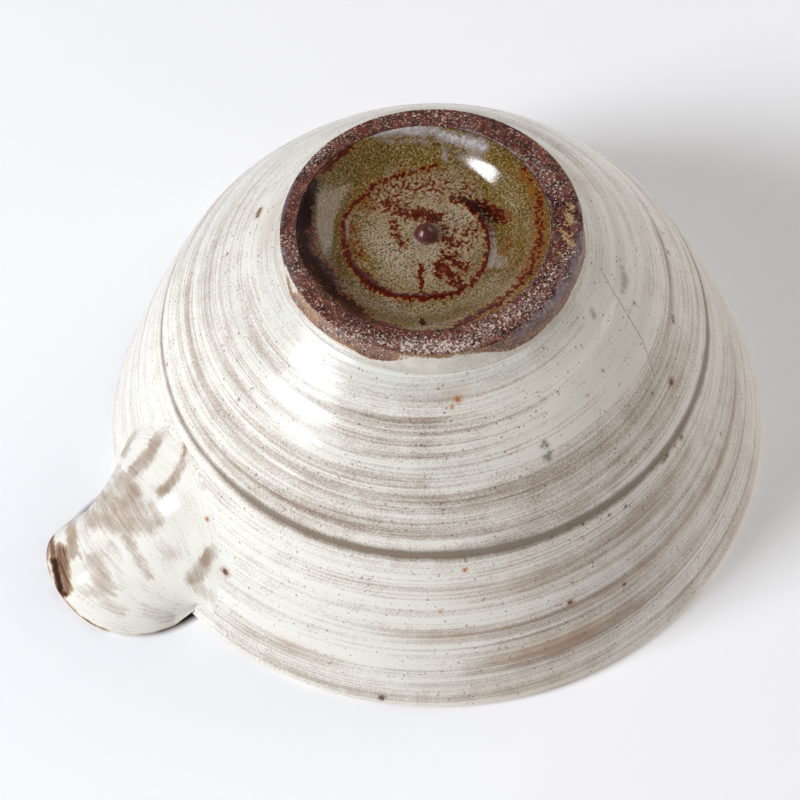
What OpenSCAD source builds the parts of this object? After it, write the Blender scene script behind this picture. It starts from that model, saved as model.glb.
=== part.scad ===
// Katakuchi sake pourer: a thrown stoneware bowl on a turned foot ring, with an open pouring spout
// luted to a notch in its wall. Millimetres, +Z up out of the mouth, spout along +X, origin at the
// centre of the foot ring's ground face.

/* [Bowl] */
// Diameter of the bowl outside its rim
rim_d = 151; // [138:1:165]
// Height of the rim above the ground
bowl_h = 72.5; // [68:0.5:84]
// Diameter of the wall at the incised groove
groove_d = 119.6; // [112:0.2:126]
// Height of the incised groove above the ground
groove_h = 33; // [29:0.5:36]
// Width of the incised groove, up and down the wall
groove_w = 2; // [1:0.1:3]
// Depth of the incised groove
groove_depth = 0.8; // [0.3:0.1:1.4]
// How far the hip below the groove swells out of a straight cone
hip_swell = 2.25; // [0:0.05:4]
// How far the wall above the groove swells out of a straight cone
wall_swell = 0.75; // [0:0.05:2]
// Thickness of the rounded rim
rim_t = 3.6; // [3:0.1:5]
// Thickness of the wall at the groove, measured level
wall_t = 7; // [5.5:0.1:9]
// Lean of the inside at the groove, in degrees from upright
inside_lean = 20; // [14:1:26]
// Thickness of the bowl's floor at its centre
floor_t = 5.8; // [4.5:0.1:9]
// Radius of the nearly level middle of the floor
floor_r = 33; // [26:1:38]

/* [Foot] */
// Outside diameter of the foot ring at the ground
foot_d = 62.6; // [54:0.2:70]
// Width of the foot ring at the ground
foot_ring_w = 4.8; // [3.6:0.1:7]
// Height of the foot ring, from the ground to the bowl's base
foot_h = 5; // [4:0.1:7]
// How far the foot ring's outside leans out on its way up to the bowl
foot_flare = 1.5; // [0:0.1:3]
// How far the foot ring's inside leans in on its way up to the bowl
well_taper = 5.2; // [3:0.1:7]
// How far the foot well is turned on into the bowl's base
well_sink = 1.2; // [0.4:0.1:2]
// Rounding of the foot ring's worn edges
foot_edge = 1; // [0.4:0.1:1.5]

/* [Foot glaze] */
// Thickness of the glaze at the lowest part of the foot well
glaze_t = 0.7; // [0.4:0.05:1]
// How far the middle of the well stands out of its trough
well_dome = 1.1; // [0:0.1:1.5]
// Diameter of the turner's nub at the centre
nub_d = 9; // [5:0.5:14]
// Height of the turner's nub
nub_h = 2; // [0.6:0.1:2.6]
// Diameter of the ridge that the turning tool leaves round the nub
ridge_d = 32; // [24:0.5:36]
// Height of that ridge
ridge_h = 0.5; // [0.2:0.05:0.9]
// Width of that ridge
ridge_w = 2.4; // [1.6:0.1:4]
// Rounding between the well's floor and its side, as the depth that the glaze fills
glaze_fillet = 2.4; // [0.6:0.1:4]
// Height of bare clay left between the glaze and the foot ring's worn edge
glaze_stop = 0.6; // [0.2:0.1:2]

/* [Spout] */
// How far the spout's tip reaches past the rim
spout_reach = 21; // [16:0.5:28]
// Outside width of the spout's lip
spout_w = 38; // [34:0.5:42]
// Length of the lip's rounded end
lip_round = 16.8; // [13:0.2:20]
// Roundness of the lip's corners, from 0.7 for square to 1 for an ellipse
lip_corner = 0.91; // [0.75:0.01:1]
// How far the lip's end is trimmed askew
lip_skew = 2.3; // [-3:0.1:3]
// How far the lip dips below the rim where it joins the bowl
lip_dip = 3; // [1:0.1:5]
// Height of the little seat where the lip's ends meet the wall
lip_seat = 2.5; // [1.5:0.1:4]
// Thickness of the spout's wall
spout_t = 4; // [3:0.1:5]
// Drop of the lip's rounded edges below its crest
lip_edge = 0.9; // [0.3:0.1:1.4]
// Slope of the spout's outside as it leaves the lip, in degrees below level
lip_slope = 48; // [35:1:60]
// How far the outside keeps that slope
lip_pull = 14; // [10:0.5:18]
// How far the outside follows the wall as it leaves the root
root_pull = 8; // [5:0.5:12]
// Length of the outside from lip to root over which both act in full
skin_span = 40; // [32:1:50]
// Angle at which the lute's edge lifts off the wall
lute_lift = 22; // [12:1:35]
// Width of the luted root on the wall at the top
root_w = 48; // [44:0.5:54]
// Height of the root's lowest point above the groove
root_rise = 1; // [0.5:0.5:4]
// Depth of the notch in the bowl's wall below the rim
notch_depth = 26; // [23:0.5:30]
// Gap left for slip between luted faces
lute_gap = 0.08; // [0.05:0.01:0.15]

/* [Hidden] */
$fn = 96;

slip_white = "#ddd8cc";
iron_clay = "#5c3027";
olive_glaze = "#7d7350";

curve_steps = 14;
arc_steps = 6;
glaze_steps = 44;
spout_sections = 36;
skin_rows = 7;

rim_r = rim_d/2;
groove_r = groove_d/2;
foot_r = foot_d/2;
well_r = foot_r - foot_ring_w;
base_r = foot_r + foot_flare;
well_h = foot_h + well_sink;
floor_h = well_h + floor_t;
rim_round = rim_t/2;
notch_r = spout_w/2 - spout_t;
notch_z = bowl_h - notch_depth + notch_r;
lip_x = rim_r + spout_reach - lip_round;
root_z = groove_h + groove_w/2 + root_rise;
seat_z = bowl_h - lip_dip - lip_seat;
// Share of the lip and of the notch's edge that lies on their rounded ends
lip_arc = 0.82;
notch_arc = 0.8;
// Share of the outer skin that belongs to the spout, the rest being the lute
lute_start = 0.6;
// Share of the seam between lute and notch that the lute covers
seam_in = 0.5;
// Height step for measuring the wall's lean
lean_step = 0.5;

function quadratic(a, b, c, t) = (1 - t)*(1 - t)*a + 2*t*(1 - t)*b + t*t*c;
function cubic(a, b, c, d, t) =
    pow(1 - t, 3)*a + 3*t*pow(1 - t, 2)*b + 3*t*t*(1 - t)*c + pow(t, 3)*d;
function quadratic_path(a, b, c) = [for (i = [0:curve_steps]) quadratic(a, b, c, i/curve_steps)];
function cubic_path(a, b, c, d) = [for (i = [0:curve_steps]) cubic(a, b, c, d, i/curve_steps)];
function arc_path(centre, r, from, to) =
    [for (i = [0:arc_steps]) let (a = from + (to - from)*i/arc_steps) centre + r*[cos(a), sin(a)]];

// Middle control point of a curve from a to c that swells out to the right of its chord
function swell_point(a, c, swell) =
    let (chord = (c - a)/norm(c - a)) (a + c)/2 + 2*swell*[chord[1], -chord[0]];

base_edge = [base_r, foot_h];
groove_mid = [groove_r, groove_h];
rim_edge = [rim_r, bowl_h - rim_round];
hip_mid = swell_point(base_edge, groove_mid, hip_swell);
wall_mid = swell_point(groove_mid, rim_edge, wall_swell);

// Where a quadratic curve with heights a, b and c stands at height z, from 0 to 1
function curve_share(a, b, c, z) = (z - a)/(b - a + sqrt(pow(b - a, 2) + (a - 2*b + c)*(z - a)));
// Radius of the bowl's outside at height z
function wall_r(z) =
    z < groove_h
    ? quadratic(base_r, hip_mid[0], groove_r, curve_share(foot_h, hip_mid[1], groove_h, z))
    : quadratic(groove_r, wall_mid[0], rim_r, curve_share(groove_h, wall_mid[1], rim_edge[1], z));
// Point just off the bowl's outside, at width y and height z
function wall_point(y, z) = [sqrt(pow(wall_r(z) + lute_gap, 2) - y*y), y, z];

// Outside of the bowl from its base to its rim, with the groove cut in
function outside_path() =
    let (low = groove_h - groove_w/2, high = groove_h + groove_w/2)
    concat(
        [for (p = quadratic_path(base_edge, hip_mid, groove_mid)) if (p[1] < low) p],
        [[wall_r(low), low], [groove_r - groove_depth, groove_h], [wall_r(high), high]],
        [for (p = quadratic_path(groove_mid, wall_mid, rim_edge)) if (p[1] > high) p]);
// Rounded rim, from just past its widest point to its inside
function rim_path() =
    let (arc = arc_path(rim_edge - [rim_round, 0], rim_round, 0, 180)) [for (i = [1:arc_steps]) arc[i]];
// Inside of the bowl from its rim to the middle of its floor
function inside_path() =
    let (rim_in = rim_edge - [rim_t, 0],
         hip_in = [groove_r - wall_t, groove_h + wall_t/2],
         up = [sin(inside_lean), cos(inside_lean)],
         rise = norm(rim_in - hip_in)/3,
         fall = norm(hip_in - [floor_r, floor_h])/2,
         upper = cubic_path(rim_in, rim_in + (hip_in - rim_in)/3, hip_in + rise*up, hip_in),
         lower = cubic_path(hip_in, hip_in - fall*up, [floor_r, floor_h], [0, floor_h]))
    concat([for (i = [1:curve_steps]) upper[i]], [for (i = [1:curve_steps]) lower[i]]);

// Thrown wall of the bowl, notched at the rim for the spout
module bowl() {
    color(slip_white)
    difference() {
        rotate_extrude()
            polygon(concat(
                [[0, well_h], [well_side(well_h), well_h], [well_side(foot_h), foot_h]],
                outside_path(), rim_path(), inside_path()));
        translate([0, 0, notch_z]) {
            rotate([0, 90, 0])
                cylinder(h = 2*rim_r, r = notch_r);
            translate([0, -notch_r, 0])
                cube([2*rim_r, 2*notch_r, bowl_h]);
        }
    }
}

// Radius of the foot well's sloping side at height z, through the ring and on into the bowl's base
function well_side(z) = well_r - well_taper*(z - foot_edge)/(foot_h - foot_edge);
// Height of that side at radius r
function side_h(r) = foot_edge + (well_r - r)*(foot_h - foot_edge)/well_taper;

// Turned ring that the bowl stands on, with worn round edges at the ground
module foot_ring() {
    color(iron_clay)
    rotate_extrude()
        polygon(concat(
            [[well_side(foot_h), foot_h]],
            arc_path([well_r + foot_edge, foot_edge], foot_edge, 180, 270),
            arc_path([foot_r - foot_edge, foot_edge], foot_edge, 270, 360),
            [[base_r, foot_h]]));
}

// Where the glaze ends, out of the well's floor and up on its side
glaze_end_h = foot_edge + glaze_stop;
glaze_end_r = well_side(glaze_end_h) - lute_gap;
// The lesser of two heights, with the corner between them filled
function filled_min(a, b, fill) = let (near = max(0, 1 - abs(a - b)/fill)) min(a, b) - near*near*fill/4;
// Height of the glaze's face at radius r: a low dome with the nub and the ridge, and the sloping side
function glaze_face(r) =
    let (dome = well_dome*(1 + cos(180*min(1, r/well_side(well_h))))/2,
         nub = r < nub_d/2 ? nub_h*pow(1 - pow(2*r/nub_d, 2), 2) : 0,
         ridge = ridge_h*exp(-pow((r - ridge_d/2)/(ridge_w/2), 2)))
    filled_min(well_h - dome - nub - ridge, side_h(r), glaze_fillet) - glaze_t;

// Glaze pooled in the foot well
module foot_glaze() {
    color(olive_glaze)
    rotate_extrude()
        polygon(concat(
            [[0, well_h]],
            [for (i = [0:glaze_steps]) let (r = glaze_end_r*i/glaze_steps) [r, glaze_face(r)]],
            [[glaze_end_r, glaze_end_h], [well_side(well_h) - lute_gap, well_h]]));
}

// Place along the lip at t from -1 to 1: the angle round its end, then the run back to the wall
function lip_turn(t) = 90*max(-1, min(1, t/lip_arc));
function lip_run(t) = max(0, (abs(t) - lip_arc)/(1 - lip_arc));
// Edge of the lip, set in from its outside by inset and lowered from its crest by drop
function lip_point(t, inset, drop) =
    let (turn = lip_turn(t),
         run = lip_run(t),
         y = (spout_w/2 - inset)*sign(t)*pow(abs(sin(turn)), lip_corner),
         z = bowl_h - lip_dip*run - drop,
         end_x = lip_x + (lip_round - inset)*pow(cos(turn), lip_corner) + lip_skew*sin(turn))
    [end_x + (wall_point(y, z)[0] - end_x)*run, y, z];
// Way in from the lip's edge: square to it in plan, and down at the lip's slope
function lip_way(t) =
    let (turn = lip_turn(t), across = [cos(turn)/lip_round, sin(turn)/(spout_w/2)], n = across/norm(across))
    -[n[0]*cos(lip_slope), n[1]*cos(lip_slope), sin(lip_slope)];

// Edge of the lute on the bowl's wall, half an ellipse hanging below the lip's seats
function root_point(t) = wall_point(root_w/2*sin(90*t), seat_z - (seat_z - root_z)*cos(90*t));
// Way off the wall at the root: towards the spout's middle and lifted by the lute's angle
function root_way(t) =
    let (p = root_point(t),
         side = atan2(p[1], p[0]),
         lean = (wall_r(p[2] + lean_step) - wall_r(p[2] - lean_step))/(2*lean_step),
         up = [lean*cos(side), lean*sin(side), 1]/norm([lean, 1]),
         across = [sin(side), -cos(side), 0],
         out = [cos(side), sin(side), -lean]/norm([lean, 1]),
         n = [cos(90*t)/(seat_z - root_z), sin(90*t)/(root_w/2)])
    (up*n[0] + across*n[1])/norm(n)*cos(lute_lift) + out*sin(lute_lift);
// Edge of the notch on the bowl's wall: straight sides with a round bottom
function notch_point(t) =
    let (turn = 90*max(-1, min(1, t/notch_arc)), rise = max(0, (abs(t) - notch_arc)/(1 - notch_arc)))
    wall_point(notch_r*sin(turn), notch_z - notch_r*cos(turn) + (seat_z - notch_z)*rise);
// Seam between spout and lute on the bowl's wall, at a share of the way from the lute's edge to the notch
function seam_point(t, share) =
    let (a = root_point(t), b = notch_point(t))
    wall_point(a[1] + (b[1] - a[1])*share, a[2] + (b[2] - a[2])*share);

// Outside of spout and lute together, from the lip at s = 0 to the lute's edge at s = 1
function outer_skin(t, s) =
    let (a = lip_point(t, 0, lip_edge), d = root_point(t), k = min(1, norm(d - a)/skin_span))
    cubic(a, a + lip_pull*k*lip_way(t), d + root_pull*k*root_way(t), d, s);
// Channel of the spout, from the lip at s = 0 to the notch at s = 1
function inner_skin(t, s) =
    let (a = lip_point(t, spout_t, lip_edge), d = notch_point(t), k = min(1, norm(d - a)/skin_span))
    cubic(a, a + lip_pull*k*lip_way(t), d + root_pull*k*[cos(lip_slope), 0, sin(lip_slope)], d, s);

// Solid through a row of closed outlines with equal numbers of points
module skin(outlines, flip) {
    n = len(outlines[0]);
    last = len(outlines) - 1;
    sides = [for (i = [0:last - 1], j = [0:n - 1])
        let (a = i*n + j, b = i*n + (j + 1) % n, c = b + n, d = a + n) each [[a, d, c], [a, c, b]]];
    ends = [[for (j = [0:n - 1]) j], [for (j = [n - 1:-1:0]) last*n + j]];
    faces = concat(sides, ends);
    polyhedron(
        points = [for (outline = outlines) each outline],
        faces = flip ? [for (f = faces) [for (k = [len(f) - 1:-1:0]) f[k]]] : faces,
        convexity = 6);
}
function section_place(i) = 2*i/spout_sections - 1;

function spout_outline(t) = concat(
    [for (i = [0:skin_rows]) outer_skin(t, lute_start*i/skin_rows)],
    [for (share = [seam_in, (1 + seam_in)/2]) seam_point(t, share)],
    [for (i = [skin_rows:-1:0]) inner_skin(t, i/skin_rows)],
    [lip_point(t, spout_t/2, 0)]);
function lute_outline(t) = concat(
    [outer_skin(t, lute_start)],
    [for (share = [seam_in, seam_in/2]) seam_point(t, share)],
    [for (i = [skin_rows:-1:1]) outer_skin(t, lute_start + (1 - lute_start)*i/skin_rows)]);

// Open pouring spout, seated on the wall round the notch
module spout() {
    color(slip_white)
    skin([for (i = [0:spout_sections]) spout_outline(section_place(i))], false);
}

// Roll of soft clay pressed along the spout's seam and smoothed into the wall
module spout_lute() {
    color(slip_white)
    skin([for (i = [0:spout_sections]) lute_outline(section_place(i))], true);
}

bowl();
foot_ring();
foot_glaze();
spout();
spout_lute();
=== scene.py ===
# %% [markdown]
# Katakuchi: a sake pourer thrown in iron-bearing stoneware. The wall is brushed with white slip and
# covered with a clear, glossy glaze. The foot ring is bare clay, and olive glaze has pooled in the well
# of the foot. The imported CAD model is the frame: it gives the sizes, and each finished piece takes the
# place of a CAD node.

# %% Frame
import math
import bpy
import numpy as np
from mathutils import Matrix, Vector


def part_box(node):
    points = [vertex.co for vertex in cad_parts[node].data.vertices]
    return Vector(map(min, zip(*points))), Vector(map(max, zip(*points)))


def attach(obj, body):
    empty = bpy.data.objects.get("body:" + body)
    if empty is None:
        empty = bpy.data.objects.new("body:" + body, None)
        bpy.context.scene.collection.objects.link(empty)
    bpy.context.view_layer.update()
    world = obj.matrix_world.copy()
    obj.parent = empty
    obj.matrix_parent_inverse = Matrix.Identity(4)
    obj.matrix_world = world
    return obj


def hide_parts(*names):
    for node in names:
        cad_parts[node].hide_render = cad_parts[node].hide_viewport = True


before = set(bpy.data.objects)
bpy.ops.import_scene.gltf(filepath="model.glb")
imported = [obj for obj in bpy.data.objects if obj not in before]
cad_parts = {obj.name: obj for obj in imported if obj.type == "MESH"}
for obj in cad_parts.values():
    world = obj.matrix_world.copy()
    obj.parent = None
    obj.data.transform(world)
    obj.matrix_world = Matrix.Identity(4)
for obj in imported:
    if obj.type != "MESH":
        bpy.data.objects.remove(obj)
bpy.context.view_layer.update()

MM = 0.001

# %% [markdown]
# The photograph shows the pot upside down on its rim, seen from well above the table. The part stands
# upright in its own frame, so the camera looks up at it from below. The view is given as a photographer
# would say it, seen from the table that the rim rests on: how high, how far, which way the spout points,
# and where the lens aims.

# %% Camera
PHOTO_PX, LENS_PX = 800, 2200
SENSOR_MM, NEAR_CLIP_M = 36, 0.01
VIEW_HEIGHT_DEG, VIEW_ROLL_DEG, VIEW_DISTANCE = 57.72, -2.75, 518.0
SPOUT_BEARING_DEG = -152.75
AIM_RIGHT, AIM_AWAY = -8.2, 4.1

bowl_high = np.array(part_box("bowl")[1]) / MM
RIM_H, RIM_R = bowl_high[2], bowl_high[1]


def from_table(vector):
    """A direction on the photographed table (right, away, up) as a direction of the upright part. The part's
    X is the spout's bearing on the table, its Z is the table's down, and its Y closes the frame."""
    bearing = math.radians(SPOUT_BEARING_DEG)
    spout = np.array([math.cos(bearing), math.sin(bearing), 0.0])
    side = np.array([spout[1], -spout[0], 0.0])
    return np.array([spout @ vector, side @ vector, -vector[2]])


def photo_camera():
    """Place and axes of the lens: straight ahead is the table's away tipped down by the viewing height, and
    right and up are turned about it by the roll. The lens stands back from its aim by the viewing
    distance."""
    tip, roll = math.radians(VIEW_HEIGHT_DEG), math.radians(VIEW_ROLL_DEG)
    ahead = np.array([0.0, math.cos(tip), -math.sin(tip)])
    level = np.array([1.0, 0.0, 0.0])
    steep = np.cross(level, ahead)
    right = math.cos(roll) * level + math.sin(roll) * steep
    up = math.cos(roll) * steep - math.sin(roll) * level
    place = np.array([AIM_RIGHT, AIM_AWAY, 0.0]) - VIEW_DISTANCE * ahead
    rim_centre = np.array([0.0, 0.0, RIM_H])
    return from_table(place) + rim_centre, from_table(right), from_table(up), from_table(ahead)


lens_place, lens_right, lens_up, lens_ahead = photo_camera()


def on_plane(px, height):
    """Point at which the ray through a pixel of the photograph meets the level plane at that height, in
    mm."""
    right, down = (np.array(px) - PHOTO_PX / 2) / LENS_PX
    ray = lens_ahead + right * lens_right - down * lens_up
    return lens_place + ray * (height - lens_place[2]) / ray[2]


def to_pixel(points):
    """Pixel of the photograph at which points of the part lie, from their shares of the lens's axes."""
    away = points - lens_place
    share = [(away @ axis) / (away @ lens_ahead) for axis in (lens_right, -lens_up)]
    return PHOTO_PX / 2 + LENS_PX * np.stack(share, axis=-1)


camera = bpy.data.objects.new("camera", bpy.data.cameras.new("camera"))
bpy.context.scene.collection.objects.link(camera)
bpy.context.scene.camera = camera
camera.data.sensor_width = SENSOR_MM
camera.data.lens = LENS_PX / PHOTO_PX * SENSOR_MM
camera.data.clip_start = NEAR_CLIP_M
turn = Matrix([list(row) for row in np.stack([lens_right, lens_up, -lens_ahead], axis=1)])
camera.matrix_world = Matrix.Translation(lens_place * MM) @ turn.to_4x4()
print("camera at", lens_place.round(1), "mm, lens", camera.data.lens, "mm")

# %% [markdown]
# A few helpers serve everything that follows. One turns a grid of points into a mesh, with smooth shading
# and with named values on its vertices that the materials read. Another adds one shader node, sets it and
# links it, and two more use that one to lay colours over each other.

# %% Mesh helpers
COINCIDE_MM = 1e-6


def grid_mesh(name, points, layers=None, loop=False):
    """Mesh on a grid of points (rows, columns, 3) in mm. Each cell is a quad, and the last column joins the
    first. In a loop, the last row joins the first too. Otherwise an end row whose points all coincide is
    a pole: it is kept as one vertex with triangles."""
    rows, columns = points.shape[:2]
    index = np.arange(rows * columns).reshape(rows, columns)
    poles = [row for row in (0, rows - 1) if np.ptp(points[row], axis=0).max() < COINCIDE_MM]
    for row in poles:
        index[row] = index[row, 0]
    here = np.concatenate([index, index[:1]]) if loop else index
    beside = np.roll(here, -1, axis=1)
    quads = np.stack([here[:-1], beside[:-1], beside[1:], here[1:]], axis=-1)
    first = 1 if 0 in poles else 0
    last = len(quads) - 1 if rows - 1 in poles else len(quads)
    faces = quads[first:last].reshape(-1, 4).tolist()
    if 0 in poles:
        faces += quads[0][:, [0, 2, 3]].tolist()
    if rows - 1 in poles:
        faces += quads[-1][:, [0, 1, 2]].tolist()
    keep = np.unique(index)
    slot = np.zeros(rows * columns, dtype=int)
    slot[keep] = np.arange(len(keep))
    mesh = bpy.data.meshes.new(name)
    mesh.from_pydata((points.reshape(-1, 3)[keep] * MM).tolist(), [], [slot[face].tolist() for face in faces])
    for label, values in (layers or {}).items():
        kind, key = ("FLOAT_VECTOR", "vector") if values.ndim == 3 else ("FLOAT", "value")
        data = mesh.attributes.new(label, kind, "POINT").data
        data.foreach_set(key, values.reshape(rows * columns, -1)[keep].ravel())
    mesh.shade_smooth()
    piece = bpy.data.objects.new(name, mesh)
    bpy.context.scene.collection.objects.link(piece)
    return piece


def enclosed(piece):
    """Volume inside a piece in cubic mm, and its number of triangles. The volume is the sum over the
    triangles of the tetrahedra that they make with the origin."""
    mesh = piece.data
    mesh.calc_loop_triangles()
    corners = np.empty(len(mesh.loop_triangles) * 3, dtype=np.int32)
    mesh.loop_triangles.foreach_get("vertices", corners)
    places = np.empty(len(mesh.vertices) * 3)
    mesh.vertices.foreach_get("co", places)
    a, b, c = places.reshape(-1, 3)[corners.reshape(-1, 3)].transpose(1, 0, 2)
    return float((a * np.cross(b, c)).sum() / 6 / MM**3), len(mesh.loop_triangles)


def turned(radius, degrees, height):
    """Points or directions given by a radius, a bearing round the pot's axis and a height."""
    angle = np.radians(degrees)
    return np.stack(np.broadcast_arrays(radius * np.cos(angle), radius * np.sin(angle), height), axis=-1)


def unit(vector):
    """A vector at length 1."""
    return vector / np.linalg.norm(vector, axis=-1, keepdims=True)


print("a point at 90 degrees round the pot:", turned(1.0, 90.0, 0.0).round(3))


# %% Colour and node helpers
def linear(code):
    """An sRGB hex colour as linear red, green, blue and alpha."""
    parts = [int(code[k : k + 2], 16) / 255 for k in (1, 3, 5)]
    return [v / 12.92 if v <= 0.04045 else ((v + 0.055) / 1.055) ** 2.4 for v in parts] + [1.0]


def add(tree, kind, inputs=None, out=0, **settings):
    """Adds a shader node, sets it, fills each input with a value, a hex colour or a link, and returns one of
    its outputs."""
    node = tree.nodes.new("ShaderNode" + kind)
    for label, value in settings.items():
        setattr(node, label, value)
    for label, value in (inputs or {}).items():
        if isinstance(value, bpy.types.NodeSocket):
            tree.links.new(value, node.inputs[label])
        else:
            node.inputs[label].default_value = linear(value) if isinstance(value, str) else value
    return node.outputs[out] if node.outputs else None


def washed(tree, colour, field, shade, start=0.0, full=1.0, most=1.0):
    """A colour with another laid over it: the other's share is 0 where the field is at its start, and rises
    to the most where the field is full. Inputs 6 and 7 and output 2 are the Mix node's colours."""
    share = add(tree, "MapRange", {0: field, 1: start, 2: full, 3: 0.0, 4: most})
    return add(tree, "Mix", {0: share, 6: colour, 7: shade}, 2, data_type="RGBA")


def marked(tree, colour, rows):
    """A colour with a row of marks laid over it. Each mark has the field that says where it lies, the weight
    of the field, the noise added to break it up, the start and full of that sum, the strength and the
    colour."""
    for field, weight, noise, start, full, most, shade in rows:
        broken = add(tree, "Math", {0: field, 1: weight, 2: noise}, operation="MULTIPLY_ADD")
        colour = washed(tree, colour, broken, shade, start, full, most)
    return colour


def new_tree(name):
    """An empty material of that name, with its node tree and the place of each point on the object."""
    material = bpy.data.materials.new(name)
    material.use_nodes = True
    material.node_tree.nodes.clear()
    return material, material.node_tree, add(material.node_tree, "TexCoord", out="Object")


print("half grey in linear light:", round(linear("#808080")[0], 3))

# %% [markdown]
# Light: one soft window to the left of the photograph, low over the table, a dim card opposite and a
# little higher, and an even pale surround. A soft panel hangs straight over the upright pot for the views
# into its mouth. The outside of the wall leans away from that panel, so it adds nothing to the
# photographed side. The surround is brighter above the upright pot, where it stands for the pale table of
# the photograph. A camera sees it as plain white.

# %% Lamps and world
# Each lamp: direction from the pot, width and height in metres, distance in metres, watts, colour.
LAMPS = {
    "window": ((0.845, 0.087, -0.53), (0.59, 0.38), 1.4, 18.4, "#F9FBFF"),
    "fill_card": ((-0.746, 0.007, -0.666), (0.75, 0.55), 1.0, 3.0, "#FFF5E8"),
    "overhead_panel": ((0.0, 0.0, 1.0), (0.7, 0.7), 1.1, 2.5, "#FFFFFF"),
}
SURROUND_ABOVE, SURROUND_LEVEL, SURROUND_BELOW = 0.9, 0.51, 0.04
# Rise of the view, -1 straight down to 1 straight up, between which the surround goes over to its upper
# light.
RISE_LEVEL, RISE_ABOVE = -0.15, -0.03

middle = np.array([0.0, 0.0, RIM_H / 2]) * MM
for name, (towards, size, distance, watts, colour) in LAMPS.items():
    lamp = bpy.data.lights.new(name, "AREA")
    lamp.shape = "RECTANGLE"
    lamp.size, lamp.size_y = size
    lamp.energy = watts
    lamp.color = linear(colour)[:3]
    panel = bpy.data.objects.new(name, lamp)
    aim = unit(np.array(towards))
    panel.location = middle + distance * aim
    panel.rotation_euler = Vector(aim).to_track_quat("Z", "Y").to_euler()
    bpy.context.scene.collection.objects.link(panel)

world = bpy.data.worlds.new("pale_surround")
world.use_nodes = True
bpy.context.scene.world = world
tree = world.node_tree
tree.nodes.clear()
way_out = add(tree, "TexCoord", out="Generated")
rising = add(tree, "SeparateXYZ", {0: way_out}, "Z")
low = add(tree, "MapRange", {0: rising, 1: -1.0, 2: RISE_LEVEL, 3: SURROUND_BELOW, 4: SURROUND_LEVEL})
step_up = SURROUND_ABOVE - SURROUND_LEVEL
high = add(tree, "MapRange", {0: rising, 1: RISE_LEVEL, 2: RISE_ABOVE, 3: 0.0, 4: step_up})
strength = add(tree, "Math", {0: low, 1: high}, operation="ADD")
lit = add(tree, "Background", {"Color": "#FCFBFC", "Strength": strength})
pale = add(tree, "Background", {"Color": "#FAFBFD", "Strength": 1.0})
looking = add(tree, "LightPath", out="Is Camera Ray")
add(tree, "OutputWorld", {"Surface": add(tree, "MixShader", {0: looking, 1: lit, 2: pale})})
bpy.context.scene.view_settings.view_transform = "Standard"
print(len(LAMPS), "lamps and the world ready")

# %% [markdown]
# The floor is a plain pale table. The photograph has the rim on it and the upright part has its foot on
# it, so there are two tables, one at each end of the pot. Each shows only to a camera on its own side,
# and lets all other light through, so neither one shades or hides the pot for the other. The gloss of the
# wall shows the table at the rim, but not the one at the foot, which would stand between the wall and the
# window. The table at the rim gets its own deep shade under the upturned pot. More light falls on the one
# at the foot, so its paper is a little greyer.

# %% Tables
TABLE_RINGS, TABLE_COLUMNS = (0.0, 100.0, 250.0, 600.0, 1500.0), 96
COVERED_R, COVERED_SPOUT_X, COVERED_SPOUT_R, SHADE_SOFT = 74.0, 75.5, 20.5, 2.0
DEEP_SHADE = "#2B2422"
RIM_PAPER, FOOT_PAPER = ("#F8FAFF", "#FCFDFF"), ("#E6E8EC", "#EAEBEE")
PAPER_GLOW, PAPER_CLOUDS_PER_M = 0.08, 3.0
SLANT_SHOWN = 0.7


def table(name, height, facing):
    """A round table: radius along the rows and angle along the columns, wound to face up or down."""
    degrees = np.linspace(0, 360, TABLE_COLUMNS, endpoint=False)[None, :] * -facing
    return grid_mesh(name, turned(np.array(TABLE_RINGS)[:, None], degrees, height))


def table_paper(at_rim):
    """Matt white paper that only a camera in front of it sees. The table at the rim is left out of level
    views, which pass close to it: it shows only where it is seen steeply. Under the pot it is in deep
    shade."""
    material, tree, place = new_tree("matt_white_table_paper")
    light_path = add(tree, "LightPath").node.outputs
    looking = light_path["Is Camera Ray"]
    for kind in ("Is Glossy Ray", "Is Transmission Ray") if at_rim else ():
        looking = add(tree, "Math", {0: looking, 1: light_path[kind]}, operation="MAXIMUM")
    behind = add(tree, "NewGeometry", out="Backfacing")
    shown = add(tree, "Math", {0: looking, 1: behind}, operation="SUBTRACT", use_clamp=True)
    cloud = add(tree, "TexNoise", {"Vector": place, "Scale": PAPER_CLOUDS_PER_M})
    dull, bright = RIM_PAPER if at_rim else FOOT_PAPER
    colour = washed(tree, dull, cloud, bright)
    if at_rim:
        slant = add(tree, "LayerWeight", {"Blend": 0.5}, "Facing")
        steep = add(tree, "Math", {0: slant, 1: SLANT_SHOWN}, operation="LESS_THAN")
        shown = add(tree, "Math", {0: shown, 1: steep}, operation="MULTIPLY")
        for x, radius in ((0.0, COVERED_R), (COVERED_SPOUT_X, COVERED_SPOUT_R)):
            centre = (x * MM, 0.0, RIM_H * MM)
            away = add(tree, "VectorMath", {0: place, 1: centre}, "Value", operation="DISTANCE")
            colour = washed(tree, colour, away, DEEP_SHADE, radius * MM, (radius - SHADE_SOFT) * MM)
    paper = add(tree, "BsdfDiffuse", {"Color": colour})
    glow = add(tree, "Emission", {"Color": colour, "Strength": PAPER_GLOW})
    paper = add(tree, "AddShader", {0: paper, 1: glow})
    clear = add(tree, "BsdfTransparent")
    add(tree, "OutputMaterial", {"Surface": add(tree, "MixShader", {0: shown, 1: clear, 2: paper})})
    return material


for name, height, facing, at_rim in (("table_at_rim", RIM_H, -1, True), ("table_at_foot", 0.0, 1, False)):
    top = table(name, height, facing)
    top.data.materials.append(table_paper(at_rim))
print("tables at", round(RIM_H, 1), "mm and 0 mm")

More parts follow.
